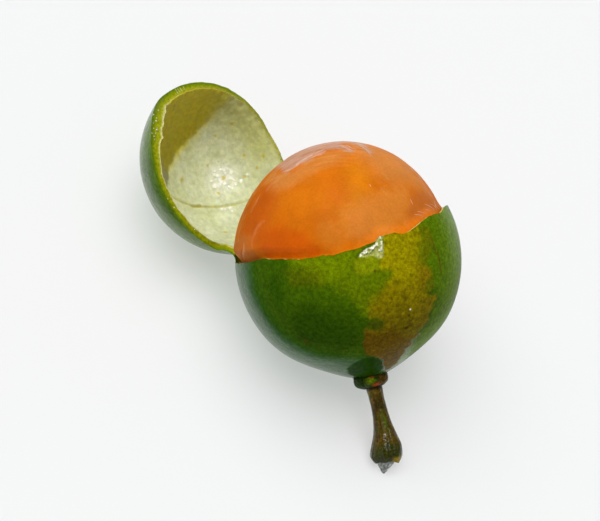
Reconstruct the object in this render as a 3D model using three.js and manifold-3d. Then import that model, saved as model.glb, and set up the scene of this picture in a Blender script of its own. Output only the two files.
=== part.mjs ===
// A guinep, peeled down to its middle and lying on its side. The torn-off top of the rind still hangs on
// by a folded strip, and the dried calyx and the stalk are on. Millimetres, +Z up.
//
// The fruit is laid out upright round its own centre, with the stalk down, +X to the right and +Y away
// from the viewer, and is then rolled and tipped to lie as it rests.
import * as THREE from "three";
import { mergeVertices } from "three/addons/utils/BufferGeometryUtils.js";
import Module from "manifold-3d";

const wasm = await Module();
wasm.setup();

const { degToRad, lerp, smoothstep, clamp } = THREE.MathUtils;
const GAP = 0.3; // left free between solids that touch

// ---- driving dimensions -----------------------------------------------------------------------------
const rind = {
  radius: 15, // at the widest place
  stalkSwell: 1.05, // how much farther out the stalk pole is
  stalkSwellAngle: 18, // degrees from the pole in which the swelling dies away
  fullness: { by: 0.22, height: -42, spread: 20 }, // a little fuller round its lower half
  thick: 1.2,
  tornThick: 0.5, // left at the torn edge
  tornTaper: 1.8, // distance below the edge in which the thickness comes back
};
// Height of the torn edge, in degrees above the widest place, at azimuths counted from +X towards +Y.
const tearLine = [
  [0, 16.5],
  [25, 14.5],
  [55, 12],
  [90, 11.5],
  [118, 10.6],
  [151, 10.6],
  [184, 9.2],
  [206, 8],
  [222, 8.3],
  [235, 6.4],
  [246, 4.6],
  [262, 3.6],
  [275, 4.4],
  [284, 7],
  [295, 8.1],
  [303, 7.9],
  [312, 11],
  [322, 13.3],
  [332, 14],
  [346, 17],
];
const fold = {
  azimuth: 151, // where the strip that still holds is
  height: 12.5, // degrees above the widest place
  angle: 99, // by which the cap is folded back
  twist: 12.5, // by which it is turned on the strip
  heldFrom: -33, // degrees to either side of there that still hold
  heldTo: 25,
  fleshClear: 9, // degrees above the tear in which the flesh keeps clear behind the strip
  ease: 1.05, // how far the strip runs straight on before it folds, for the gap that it spans
};
const cap = {
  radius: 13.1,
  edge: 76.3, // degrees from its pole to the fold
  thick: 1.2,
  tornTaper: 1.6, // distance inside its edge in which that thickness is reached
};
// Degrees from the cap's pole to its torn edge, round the cap from the middle of the fold.
const capEdge = [
  [-150, 76.2],
  [-125, 76.6],
  [-108, 75.6],
  [-88, 76.6],
  [-60, 76],
  [-33, 74.6],
  [0, 74.4],
  [33, 74.2],
  [54, 75.4],
  [70, 76],
  [92, 77],
  [110, 77.8],
  [128, 76.6],
  [146, 72],
  [160, 70],
  [178, 72],
  [192, 74],
];
// Thickness of that edge, round the cap likewise.
const capEdgeThick = [
  [-160, 1.05],
  [-90, 0.9],
  [-33, 0.95],
  [0, 0.95],
  [25, 0.95],
  [70, 0.85],
  [100, 1.15],
  [122, 1.8],
  [142, 1.5],
  [165, 1.25],
];
const flesh = {
  radius: 14.5, // at the widest place
  apexRise: 1.2, // how much farther out the apex is
  lean: 0.88, // fuller by this much on the left, and flatter on the right
  leanFade: 0.78, // share of that which is gone towards the apex
  bulgeAngle: 6.5, // degrees above the tear in which it swells out past the rind's edge
};
const calyx = { radius: 2.3, lobes: 5, lobeDepth: 0.28, top: 16.35, bottom: 17.2, stray: -0.15 };
// The stalk: distance below the fruit's centre, radius, and how far its middle strays along X.
const stalk = [
  [17.5, 1.05, 0.1],
  [18.8, 0.99, 0.16],
  [20.2, 1.0, 0.22],
  [21.8, 1.13, 0.28],
  [23.2, 1.38, 0.3],
  [24.6, 1.8, 0.22],
  [25.9, 2.12, 0.08],
  [26.8, 2.08, -0.06],
  [27.45, 1.7, -0.12],
];
const stalkTip = {
  slant: 0.13, // how much lower the foot is on the right, for each millimetre
  rimDepth: 0.25,
  coreRadius: 1.1,
  coreLength: 1.5,
  coreLean: -0.5,
};
const rest = { centreHeight: 14.79, rise: 29.74, roll: 28.21 }; // how the fruit lies on the floor

// ---- curves -----------------------------------------------------------------------------------------
// A smooth closed curve through [degrees, value] points, as a function of the angle in degrees.
function roundTrip(points) {
  const n = points.length;
  const at = (i) => {
    const turn = Math.floor(i / n);
    const [angle, value] = points[i - turn * n];
    return [angle + 360 * turn, value];
  };
  const slope = (i) => {
    const [a0, v0] = at(i - 1);
    const [a1, v1] = at(i + 1);
    return (v1 - v0) / (a1 - a0);
  };
  return (degrees) => {
    const start = points[0][0];
    const angle = start + ((((degrees - start) % 360) + 360) % 360);
    let i = 0;
    while (at(i + 1)[0] <= angle) i++;
    const [a0, v0] = at(i);
    const [a1, v1] = at(i + 1);
    const step = a1 - a0;
    const t = (angle - a0) / step;
    const ease = t * t * (3 - 2 * t);
    const bend = t * (1 - t) * step * ((1 - t) * slope(i) - t * slope(i + 1));
    return lerp(v0, v1, ease) + bend;
  };
}

// A smooth open curve through rows of numbers, the first of which is the distance along.
function along(rows) {
  const curve = new THREE.CatmullRomCurve3(rows.map((row) => new THREE.Vector3(...row)));
  return (t) => curve.getPoint(t);
}

// Signed angle in degrees, from -180 to 180.
const wrap = (degrees) => ((((degrees + 180) % 360) + 360) % 360) - 180;

// ---- the fruit's own directions ---------------------------------------------------------------------
// Unit vector at an azimuth and a height, both in degrees.
function direction(azimuth, height) {
  const a = degToRad(azimuth);
  const h = degToRad(height);
  return new THREE.Vector3(Math.cos(h) * Math.cos(a), Math.cos(h) * Math.sin(a), Math.sin(h));
}

const tearAt = roundTrip(tearLine);
const capEdgeAt = roundTrip(capEdge);
const capEdgeThickAt = roundTrip(capEdgeThick);

// 1 inside the strip that holds, falling to 0 over some degrees beyond it.
function held(azimuth, fade) {
  const place = wrap(azimuth - fold.azimuth);
  const beyond = Math.max(fold.heldFrom - place, place - fold.heldTo);
  return 1 - smoothstep(beyond, 0, fade);
}

function rindRadius(height) {
  const fromPole = (height + 90) / rind.stalkSwellAngle;
  const fromFullest = (height - rind.fullness.height) / rind.fullness.spread;
  const swell = rind.stalkSwell * Math.exp(-fromPole * fromPole);
  return rind.radius + swell + rind.fullness.by * Math.exp(-fromFullest * fromFullest);
}

function rindThickness(azimuth, height) {
  const below = degToRad(tearAt(azimuth) - height) * rind.radius;
  const edge = lerp(rind.tornThick, capEdgeThickAt(0), held(azimuth, 12));
  return lerp(edge, rind.thick, smoothstep(below, 0, rind.tornTaper));
}

// The cap's frame: its centre, the direction of its pole, the one to the fold, and the one across both.
function capFrame() {
  const out = direction(fold.azimuth, fold.height);
  const up = direction(fold.azimuth, fold.height + 90);
  const hinge = new THREE.Vector3(0, 0, 1).cross(direction(fold.azimuth, 0));
  const point = out.clone().multiplyScalar(rind.radius);
  const outside = out.clone().applyAxisAngle(hinge, degToRad(fold.angle));
  const towardsPole = up.clone().applyAxisAngle(hinge, degToRad(fold.angle));
  towardsPole.applyAxisAngle(outside, degToRad(fold.twist));
  const edge = degToRad(cap.edge);
  const pole = outside.clone().multiplyScalar(Math.cos(edge));
  pole.addScaledVector(towardsPole, Math.sin(edge));
  const toFold = outside.clone().multiplyScalar(Math.sin(edge));
  toFold.addScaledVector(towardsPole, -Math.cos(edge));
  const centre = point.addScaledVector(outside, -cap.radius);
  return { centre, pole, toFold, across: pole.clone().cross(toFold) };
}
const capAxes = capFrame();

function capPoint(around, fromPole, depth) {
  const a = degToRad(around);
  const p = degToRad(fromPole);
  const r = cap.radius - depth;
  return capAxes.centre
    .clone()
    .addScaledVector(capAxes.pole, r * Math.cos(p))
    .addScaledVector(capAxes.toFold, r * Math.sin(p) * Math.cos(a))
    .addScaledVector(capAxes.across, r * Math.sin(p) * Math.sin(a));
}

function capThickness(around, fromPole) {
  const inside = degToRad(capEdgeAt(around) - fromPole) * cap.radius;
  return lerp(capEdgeThickAt(around), cap.thick, smoothstep(inside, 0, cap.tornTaper));
}

// ---- solids -----------------------------------------------------------------------------------------
function meshGeometry(vertices, faces) {
  const positions = vertices.flatMap((v) => [v.x, v.y, v.z]);
  const geometry = new THREE.BufferGeometry();
  geometry.setAttribute("position", new THREE.Float32BufferAttribute(positions, 3));
  geometry.setIndex(faces.flat());
  return geometry;
}

// A closed solid from rows of points round an axis. The first and the last row are single points.
function rowsSolid(rows, sides, point) {
  const vertices = [point(0, 0)];
  for (let i = 1; i < rows; i++) {
    for (let j = 0; j < sides; j++) vertices.push(point(i / rows, (360 * j) / sides));
  }
  vertices.push(point(1, 0));
  const last = vertices.length - 1;
  const id = (i, j) => 1 + (i - 1) * sides + (j % sides);
  const faces = [];
  for (let j = 0; j < sides; j++) {
    faces.push([0, id(1, j + 1), id(1, j)]);
    faces.push([last, id(rows - 1, j), id(rows - 1, j + 1)]);
    for (let i = 1; i < rows - 1; i++) {
      faces.push([id(i, j), id(i, j + 1), id(i + 1, j + 1)]);
      faces.push([id(i, j), id(i + 1, j + 1), id(i + 1, j)]);
    }
  }
  return meshGeometry(vertices, faces);
}

// The rind is one surface: up the cup, across the folded strip and over the cap, with its inner side
// under it, closed along every torn edge.
const cupRows = [0.07, 0.17, 0.28, 0.39, 0.5, 0.61, 0.71, 0.8, 0.88, 0.945, 1];
const capRows = [0.1, 0.22, 0.35, 0.48, 0.61, 0.73, 0.84, 0.93, 1];
const heldCells = 11;
const cupFreeCells = 55;
const capFreeCells = 51;
const stripRows = 6;

// Angles of the columns round a cup: the held ones first, from one end of the strip to the other.
function columnAngles(middle, freeCells) {
  const from = middle + fold.heldFrom;
  const to = middle + fold.heldTo;
  const angles = [];
  for (let j = 0; j < heldCells; j++) angles.push(lerp(from, to, j / heldCells));
  for (let j = 0; j < freeCells; j++) angles.push(lerp(to, from + 360, j / freeCells));
  return angles;
}

function rindGeometry() {
  const vertices = [];
  const faces = [];
  const add = (v) => vertices.push(v) - 1;
  const quad = (a, b, c, d) => faces.push([a, b, c], [a, c, d]);

  // One bowl, from its pole to its torn edge: the ids of its points by row and column.
  function bowl(rows, angles, pole, point, upwards) {
    const grid = rows.map((t) => angles.map((angle) => add(point(angle, t))));
    const tip = add(pole);
    const n = angles.length;
    for (let j = 0; j < n; j++) {
      const k = (j + 1) % n;
      if (upwards) faces.push([tip, grid[0][k], grid[0][j]]);
      else faces.push([tip, grid[0][j], grid[0][k]]);
      for (let i = 0; i + 1 < rows.length; i++) {
        const [a, b, c, d] = [grid[i][j], grid[i][k], grid[i + 1][k], grid[i + 1][j]];
        if (upwards) quad(a, b, c, d);
        else quad(a, d, c, b);
      }
    }
    return grid[rows.length - 1];
  }

  const cupHeight = (azimuth, t) => lerp(-90, tearAt(azimuth), t);
  const cupOuter = (azimuth, t) => {
    const height = cupHeight(azimuth, t);
    return direction(azimuth, height).multiplyScalar(rindRadius(height));
  };
  const cupInner = (azimuth, t) => {
    const height = cupHeight(azimuth, t);
    const r = rindRadius(height) - rindThickness(azimuth, height);
    return direction(azimuth, height).multiplyScalar(r);
  };
  const capOuter = (around, t) => capPoint(around, capEdgeAt(around) * t, 0);
  const capInner = (around, t) => {
    const fromPole = capEdgeAt(around) * t;
    return capPoint(around, fromPole, capThickness(around, fromPole));
  };

  const cupAngles = columnAngles(fold.azimuth, cupFreeCells);
  const capAngles = columnAngles(0, capFreeCells);
  const cupOut = bowl(cupRows, cupAngles, cupOuter(0, 0), cupOuter, true);
  const cupIn = bowl(cupRows, cupAngles, cupInner(0, 0), cupInner, false);
  const capOut = bowl(capRows, capAngles, capPoint(0, 0, 0), capOuter, false);
  const capIn = bowl(capRows, capAngles, capPoint(0, 0, cap.thick), capInner, true);

  for (let j = heldCells; j < cupAngles.length; j++) {
    const k = (j + 1) % cupAngles.length;
    quad(cupOut[j], cupOut[k], cupIn[k], cupIn[j]);
  }
  for (let j = heldCells; j < capAngles.length; j++) {
    const k = (j + 1) % capAngles.length;
    quad(capOut[j], capIn[j], capIn[k], capOut[k]);
  }

  // The strip leaves the cup upwards, folds back and runs into the cap, one path for each column.
  const paths = [];
  for (let j = 0; j <= heldCells; j++) {
    const middle = (a, b) => vertices[a].clone().add(vertices[b]).multiplyScalar(0.5);
    const half = (a, b) => vertices[a].clone().sub(vertices[b]).multiplyScalar(0.5);
    const azimuth = cupAngles[j];
    const around = capAngles[j];
    const start = middle(cupOut[j], cupIn[j]);
    const end = middle(capOut[j], capIn[j]);
    const gap = start.distanceTo(end);
    const leave = direction(azimuth, tearAt(azimuth) + 90).multiplyScalar(fold.ease * gap);
    const into = capPoint(around, capEdgeAt(around) - 4, 0);
    into.sub(capPoint(around, capEdgeAt(around) + 4, 0)).setLength(fold.ease * gap);
    const startHalf = half(cupOut[j], cupIn[j]);
    const endHalf = half(capOut[j], capIn[j]);
    const axis = startHalf.clone().cross(endHalf).normalize();
    const turn = startHalf.angleTo(endHalf);
    const outer = [cupOut[j]];
    const inner = [cupIn[j]];
    for (let i = 1; i < stripRows; i++) {
      const t = i / stripRows;
      const at = new THREE.Vector3()
        .addScaledVector(start, 2 * t ** 3 - 3 * t ** 2 + 1)
        .addScaledVector(leave, t ** 3 - 2 * t ** 2 + t)
        .addScaledVector(end, -2 * t ** 3 + 3 * t ** 2)
        .addScaledVector(into, t ** 3 - t ** 2);
      const across = startHalf.clone().applyAxisAngle(axis, turn * t);
      across.setLength(lerp(startHalf.length(), endHalf.length(), t));
      outer.push(add(at.clone().add(across)));
      inner.push(add(at.clone().sub(across)));
    }
    outer.push(capOut[j]);
    inner.push(capIn[j]);
    paths.push({ outer, inner });
  }
  for (let j = 0; j < heldCells; j++) {
    const [p, q] = [paths[j], paths[j + 1]];
    for (let i = 0; i < stripRows; i++) {
      quad(p.outer[i], q.outer[i], q.outer[i + 1], p.outer[i + 1]);
      quad(p.inner[i], p.inner[i + 1], q.inner[i + 1], q.inner[i]);
    }
  }
  const first = paths[0];
  const last = paths[heldCells];
  for (let i = 0; i < stripRows; i++) {
    quad(first.inner[i], first.outer[i], first.outer[i + 1], first.inner[i + 1]);
    quad(last.outer[i], last.inner[i], last.inner[i + 1], last.outer[i + 1]);
  }
  return meshGeometry(vertices, faces);
}

// The flesh fills the cup and bulges out of it, a little fuller on the left.
function fleshGeometry() {
  const point = (t, azimuth) => {
    const height = lerp(-90, 90, t);
    const d = direction(azimuth, height);
    const behindStrip = held(azimuth, 7);
    const edge = tearAt(azimuth) + fold.fleshClear * behindStrip;
    const inside = rindRadius(height) - rindThickness(azimuth, height) - GAP;
    const squeezed = rind.radius - lerp(rind.tornThick, rind.thick, behindStrip) - GAP;
    const under = Math.min(inside, squeezed);
    const lean = flesh.lean * d.x * (1 - flesh.leanFade * d.z);
    const bare = flesh.radius + flesh.apexRise * d.z ** 2 - lean;
    return d.multiplyScalar(lerp(under, bare, smoothstep(height, edge, edge + flesh.bulgeAngle)));
  };
  return rowsSolid(26, 52, point);
}

// A dried five-lobed ring pressed against the stalk pole.
function calyxGeometry() {
  const profile = [
    [0, 0],
    [0.62, 0],
    [1, 0.25],
    [0.97, 0.62],
    [0.66, 1],
    [0, 1],
  ];
  const point = (t, azimuth) => {
    const place = t * (profile.length - 1);
    const i = Math.min(Math.floor(place), profile.length - 2);
    const share = lerp(profile[i][0], profile[i + 1][0], place - i);
    const depth = lerp(profile[i][1], profile[i + 1][1], place - i);
    const lobe = Math.abs(Math.cos(degToRad((azimuth * calyx.lobes) / 2)));
    const r = share * (calyx.radius - calyx.lobeDepth * (1 - lobe));
    const curve = 0.032 * r * r * (1 - depth);
    const z = lerp(calyx.top, calyx.bottom, depth) - curve;
    const a = degToRad(azimuth);
    return new THREE.Vector3(calyx.stray + r * Math.cos(a), r * Math.sin(a), -z);
  };
  return rowsSolid(10, 40, (t, azimuth) => point(1 - t, azimuth));
}

// The stalk widens to a torn foot, out of which its woody core sticks.
function stalkGeometry() {
  const course = along(stalk);
  const foot = stalk[stalk.length - 1];
  const sides = 28;
  const side = (azimuth, along) => 1 + 0.05 * Math.cos(degToRad(azimuth * 5 + along * 14));
  const point = (t, azimuth) => {
    const a = degToRad(azimuth);
    if (t <= 0.7) {
      const { x: down, y: radius, z: stray } = course(Math.min(t / 0.7, 1));
      const r = t === 0 ? 0 : radius * side(azimuth, down);
      const slant = stalkTip.slant * r * Math.cos(a) * smoothstep(down, 24, foot[0]);
      return new THREE.Vector3(stray + r * Math.cos(a), r * Math.sin(a), -down - slant);
    }
    const u = (t - 0.7) / 0.3;
    const inward = Math.min(u / 0.3, 1);
    const out = clamp((u - 0.3) / 0.7, 0, 1);
    const coreRadius = stalkTip.coreRadius * Math.sqrt(Math.max(0, 1 - out * out));
    const r = lerp(foot[1], coreRadius, inward) * side(azimuth, foot[0]);
    const slant = stalkTip.slant * r * Math.cos(a);
    const down = foot[0] - stalkTip.rimDepth * inward + stalkTip.coreLength * out + slant;
    const stray = foot[2] + stalkTip.coreLean * out;
    return new THREE.Vector3(stray + r * Math.cos(a), r * Math.sin(a), -down);
  };
  return rowsSolid(30, sides, (t, azimuth) => point(1 - t, azimuth));
}

// ---- resting on the floor ---------------------------------------------------------------------------
function manifoldOf(geometry) {
  const merged = mergeVertices(geometry, 1e-4);
  return new wasm.Manifold(
    new wasm.Mesh({
      numProp: 3,
      vertProperties: merged.attributes.position.array,
      triVerts: new Uint32Array(merged.index.array),
    }),
  );
}

function geometryOf(solid) {
  const mesh = solid.getMesh();
  const geometry = new THREE.BufferGeometry();
  geometry.setAttribute("position", new THREE.Float32BufferAttribute(mesh.vertProperties, 3));
  geometry.setIndex(new THREE.BufferAttribute(new Uint32Array(mesh.triVerts), 1));
  geometry.computeVertexNormals();
  return geometry;
}

// Rolls and tips the fruit as it lies, and sets its centre above the floor.
const lay = new THREE.Matrix4()
  .makeTranslation(0, 0, rest.centreHeight)
  .multiply(new THREE.Matrix4().makeRotationX(-degToRad(90 - rest.rise)))
  .multiply(new THREE.Matrix4().makeRotationZ(-degToRad(rest.roll)));

// The fruit's solid as it lies, worn to a small flat where it meets the floor.
function laid(geometry) {
  const block = new THREE.BoxGeometry(120, 120, 60).translate(0, 0, 30);
  block.deleteAttribute("normal");
  block.deleteAttribute("uv");
  return geometryOf(manifoldOf(geometry.applyMatrix4(lay)).intersect(manifoldOf(block)));
}

const looks = {
  rind: { color: 0x4f7a1c, roughness: 0.42, metalness: 0 },
  flesh: { color: 0xd9762a, roughness: 0.22, metalness: 0 },
  calyx: { color: 0x4a4a1e, roughness: 0.7, metalness: 0 },
  stalk: { color: 0x5a5024, roughness: 0.55, metalness: 0 },
};

const group = new THREE.Group();
const shapes = {
  rind: rindGeometry(),
  flesh: fleshGeometry(),
  calyx: calyxGeometry(),
  stalk: stalkGeometry(),
};
for (const [name, geometry] of Object.entries(shapes)) {
  const mesh = new THREE.Mesh(laid(geometry), new THREE.MeshStandardMaterial(looks[name]));
  mesh.name = name;
  group.add(mesh);
}

// The middle of the whole part's box is put over the origin.
const middle = new THREE.Box3().setFromObject(group).getCenter(new THREE.Vector3());
group.position.set(-middle.x, -middle.y, 0);

export default group;
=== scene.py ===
import bpy
import numpy as np
from mathutils import Matrix, Vector


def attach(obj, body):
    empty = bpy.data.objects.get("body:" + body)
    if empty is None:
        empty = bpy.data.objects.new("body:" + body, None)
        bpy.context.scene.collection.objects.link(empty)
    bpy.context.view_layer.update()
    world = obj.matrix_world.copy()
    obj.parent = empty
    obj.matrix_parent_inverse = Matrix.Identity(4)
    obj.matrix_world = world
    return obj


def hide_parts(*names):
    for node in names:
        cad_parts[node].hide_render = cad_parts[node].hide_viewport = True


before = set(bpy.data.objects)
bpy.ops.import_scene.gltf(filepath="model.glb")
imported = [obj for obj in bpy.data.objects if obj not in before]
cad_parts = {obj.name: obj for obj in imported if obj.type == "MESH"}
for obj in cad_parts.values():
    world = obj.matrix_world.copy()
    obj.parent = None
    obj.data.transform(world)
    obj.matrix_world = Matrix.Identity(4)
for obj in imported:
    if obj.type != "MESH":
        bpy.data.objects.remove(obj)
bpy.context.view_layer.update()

MM = 0.001

# ---- driving dimensions, in millimetres and degrees --------------------------------------------------
RIND = dict(radius=15, stalk_swell=1.05, swell_angle=18, thick=1.2, torn_thick=0.5, torn_taper=1.8)
FULLNESS = dict(by=0.22, height=-42, spread=20)
# Height of the torn edge at azimuths counted from +X towards +Y.
TEAR_LINE = [
    (0, 16.5), (25, 14.5), (55, 12), (90, 11.5), (118, 10.6), (151, 10.6), (184, 9.2), (206, 8),
    (216, 8.1), (222, 8.4), (229, 7.3), (235, 6.3), (241, 5.3), (246, 4.6), (252, 4.2), (257, 4.2),
    (262, 3.5), (268, 4.2), (274, 4.3), (279, 5.2), (283, 5.9), (286, 7.9), (290, 8.2), (295, 8.2),
    (299, 7.3), (303, 7.8), (308, 9.6), (312, 10.9), (316, 12.3), (322, 13.5), (332, 14), (340, 16),
    (346, 17.2), (352, 17),
]
FOLD = dict(azimuth=151, height=12.5, angle=99, twist=12.5, held_from=-33, held_to=25, ease=1.05)
FLESH_CLEAR = 9
CAP = dict(radius=13.1, edge=76.3, thick=1.2, torn_taper=1.6)
# Degrees from the cap's pole to its torn edge, round the cap from the middle of the fold.
CAP_EDGE = [
    (-150, 76.2), (-125, 76.6), (-108, 75.6), (-88, 76.6), (-60, 76), (-33, 74.6), (0, 74.4), (33, 74.2),
    (54, 75.4), (70, 76), (92, 77), (110, 77.8), (128, 76.6), (146, 72), (160, 70), (178, 72), (192, 74),
]
CAP_EDGE_THICK = [
    (-160, 1.05), (-90, 0.9), (-33, 0.95), (0, 0.95), (25, 0.95), (70, 0.85), (100, 1.15), (122, 1.8),
    (142, 1.5), (165, 1.25),
]
FLESH = dict(radius=14.5, apex_rise=1.2, lean=0.88, lean_fade=0.78, bulge_angle=6.5)
GAP = 0.3
CALYX = dict(radius=2.35, lobes=5, lobe_at=276, stray=-0.1)
# The calyx in profile: distance below the fruit's centre, and share of its radius.
CALYX_PROFILE = [
    (15.82, 0.5), (15.84, 0.8), (15.95, 0.95), (16.2, 1.0), (16.55, 0.99), (16.9, 0.9), (17.2, 0.72),
    (17.42, 0.5),
]
# The stalk: distance below the fruit's centre, radius, and how far its middle strays along X.
STALK = [
    (16.6, 1.15, 0.08), (17.5, 1.05, 0.1), (18.8, 0.99, 0.16), (20.2, 1.0, 0.22), (21.8, 1.13, 0.28),
    (23.2, 1.38, 0.3), (24.6, 1.8, 0.22), (25.9, 2.12, 0.08), (26.8, 2.08, -0.06), (27.45, 1.7, -0.12),
]
STALK_TIP = dict(slant=0.13, rim_depth=0.25, core_radius=1.15, core_length=1.65, core_lean=-0.65)
REST = dict(centre=(2.7948, -4.061, 14.79), rise=29.74, roll=28.21)

# The camera, in the fruit's own axes: where it looks from, and the roll of the fruit in its picture.
PICTURE_ROLL = 11.1
CAMERA_AT = (-6.372, -0.199, 300)
FOCAL_PIXELS = 2259.9
PICTURE_WIDTH, PICTURE_HEIGHT = 600, 521
KEY_FROM = (0.01, 0.714, 0.70)
LAMP_FROM = (0.354, 0.327, 0.877)


# ---- small maths -------------------------------------------------------------------------------------
def rgb(red, green, blue):
    """A display colour of 0 to 255 as linear light."""
    c = np.array([red, green, blue]) / 255
    return np.where(c <= 0.04045, c / 12.92, ((c + 0.055) / 1.055) ** 2.4)


def smoothstep(x, low, high):
    t = np.clip((x - low) / (high - low), 0, 1)
    return t * t * (3 - 2 * t)


def lerp(a, b, t):
    return a + (b - a) * t


def wrap(degrees):
    """Signed angle, from -180 to 180."""
    return (np.asarray(degrees) + 180) % 360 - 180


def unit(v):
    return v / np.linalg.norm(v, axis=-1, keepdims=True)


def rotated(v, axis, degrees):
    """Vectors turned round unit axes."""
    angle = np.radians(np.asarray(degrees, float))[..., None]
    along = (v * axis).sum(-1, keepdims=True) * axis
    return along + (v - along) * np.cos(angle) + np.cross(axis, v) * np.sin(angle)


def round_trip(points):
    """A smooth closed curve through (degrees, value) points, as a function of degrees."""
    angle, value = np.array(points, float).T
    angle = np.concatenate([angle[-1:] - 360, angle, angle[:2] + 360])
    value = np.concatenate([value[-1:], value, value[:2]])
    slope = (value[2:] - value[:-2]) / (angle[2:] - angle[:-2])
    start = angle[1]

    def curve(degrees):
        a = start + (np.asarray(degrees, float) - start) % 360
        i = np.clip(np.searchsorted(angle[1:-1], a, side="right") - 1, 0, len(slope) - 2)
        step = angle[i + 2] - angle[i + 1]
        t = (a - angle[i + 1]) / step
        bend = t * (1 - t) * step * ((1 - t) * slope[i] - t * slope[i + 1])
        return lerp(value[i + 1], value[i + 2], t * t * (3 - 2 * t)) + bend

    return curve


def through(rows, x):
    """A smooth open curve through rows of numbers, the first of which runs on, at the places x."""
    rows = np.array(rows, float)
    at = rows[:, 0]
    slopes = np.gradient(rows, at, axis=0)
    i = np.clip(np.searchsorted(at, x, side="right") - 1, 0, len(at) - 2)
    step = (at[i + 1] - at[i])[:, None]
    t = (x - at[i])[:, None] / step
    bend = t * (1 - t) * step * ((1 - t) * slopes[i] - t * slopes[i + 1])
    return (lerp(rows[i], rows[i + 1], t * t * (3 - 2 * t)) + bend)[:, 1:]


GRADIENTS = unit(np.random.default_rng(11).normal(size=(4096, 3)))


def noise(points, size, seed=0):
    """Gradient noise from about -1 to 1 with features of this size."""
    p = np.asarray(points, float) / size + seed * 17.31
    cell = np.floor(p).astype(np.int64)
    f = p - cell
    w = f * f * f * (f * (f * 6 - 15) + 10)
    total = np.zeros(len(p))
    for corner in np.ndindex(2, 2, 2):
        at = cell + corner
        key = (at[:, 0] * 73856093) ^ (at[:, 1] * 19349663) ^ (at[:, 2] * 83492791)
        slope = (GRADIENTS[key % 4096] * (f - corner)).sum(-1)
        total += slope * np.prod(np.where(corner, w, 1 - w), axis=-1)
    return total * 1.7


def layered(points, size, seed=0, octaves=3):
    return sum(noise(points, size / 2**k,
        seed + k) / 2**k for k in range(octaves)) / (2 - 2 ** (1 - octaves))


def near_path(points, path):
    """Distance from points to a path of points, and how far along the path, from 0 to 1."""
    best = np.full(len(points), 1e9)
    share = np.zeros(len(points))
    path = np.asarray(path, float)
    for i, (a, b) in enumerate(zip(path[:-1], path[1:])):
        ab = b - a
        t = np.clip((points - a) @ ab / (ab @ ab), 0, 1)
        d = np.linalg.norm(points - a - t[:, None] * ab, axis=-1)
        share = np.where(d < best, (i + t) / (len(path) - 1), share)
        best = np.minimum(best, d)
    return best, share


def direction(azimuth, height):
    a, h = np.broadcast_arrays(np.radians(azimuth), np.radians(height))
    return np.stack([np.cos(h) * np.cos(a), np.cos(h) * np.sin(a), np.sin(h)], -1)


def chart(azimuth, height, centre):
    """Flat places round a centre on the ball, in degrees, true in distance and bearing from that centre."""
    v, c = direction(azimuth, height), direction(*centre)
    right = unit(np.cross([0, 0, 1], c))
    flat = np.stack([v @ right, v @ np.cross(c, right)], -1)
    angle = np.degrees(np.arccos(np.clip(v @ c, -1, 1)))
    return flat * (angle / np.maximum(np.linalg.norm(flat, axis=-1), 1e-9))[..., None]


def within(places, outline):
    """Distance from flat places to a closed outline, above 0 inside it and below 0 outside."""
    best = np.full(len(places), 1e9)
    inside = np.zeros(len(places), bool)
    for a, b in zip(outline, np.roll(outline, -1, axis=0)):
        ab = b - a
        t = np.clip((places - a) @ ab / (ab @ ab), 0, 1)
        best = np.minimum(best, np.linalg.norm(places - a - t[:, None] * ab, axis=-1))
        level = (places[:, 1] - a[1]) / (ab[1] if ab[1] else 1e-9)
        inside ^= ((a[1] > places[:, 1]) != (b[1] > places[:, 1])) & (places[:, 0] < a[0] + level * ab[0])
    return np.where(inside, best, -best)


def area(colour, tint, places, outline, centre, edge=0.7, ragged=None, amount=1.0):
    """Lays another tint over the colours inside an outline of (azimuth, height) corners.
    The edge is in degrees.
    """
    far = within(places, chart(*np.array(outline, float).T, centre))
    if ragged is not None:
        far = far + ragged
    return lerp(colour, rgb(*tint), (amount * smoothstep(far, -edge, edge))[:, None])


def stroke(colour, tint, points, path, width, amount=1.0):
    """Lays a line of another tint over the colours, tapered at its ends. The width is in millimetres."""
    distance, share = near_path(points, path)
    broad = width * (0.35 + 0.65 * np.sqrt(np.clip(4 * share * (1 - share), 0, 1)))
    return lerp(colour, rgb(*tint), (amount * (1 - smoothstep(distance / broad, 0.3, 1)))[:, None])


# ---- the lay of the fruit ----------------------------------------------------------------------------
def turn(axis, degrees):
    return np.array(Matrix.Rotation(np.radians(degrees), 3, axis))


LAY = turn("X", -(90 - REST["rise"])) @ turn("Z", -REST["roll"])


# The picture's right, its up and its way to the camera, as columns in the fruit's own axes.
ROLLED = np.radians(PICTURE_ROLL)
PICTURE_IN_FRUIT = np.array([
    [np.cos(ROLLED), np.sin(ROLLED), 0],
    [0, 0, -1],
    [-np.sin(ROLLED), np.cos(ROLLED), 0],
])


def seen(pixels, radius_towards, centre=(0, 0, 0), side=-1):
    """Directions from a round surface's centre to where the camera sees it at these pixels of the picture.

    The surface's radius depends on the direction. The side is -1 for the near side and 1 for the far one.
    """
    x, y = np.array(pixels, float).T
    ray = np.stack([x - PICTURE_WIDTH / 2, PICTURE_HEIGHT / 2 - y, 0 * x - FOCAL_PIXELS], -1)
    ray = unit(ray) @ PICTURE_IN_FRUIT.T
    start = PICTURE_IN_FRUIT @ CAMERA_AT - centre
    along = ray @ start
    radius = RIND["radius"]
    for _ in range(20):
        reach = np.sqrt(np.maximum(along**2 - start @ start + radius**2, 0))
        towards = unit(start + (side * reach - along)[:, None] * ray)
        radius = lerp(radius, radius_towards(towards), 0.7)
    return towards


def laid(points):
    """Places in the upright fruit, in millimetres, as places in the scene, in metres.
    What reaches the floor is flat.
    """
    placed = np.asarray(points) @ LAY.T + REST["centre"]
    placed[..., 2] = np.maximum(placed[..., 2], 0)
    return placed * MM


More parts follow.
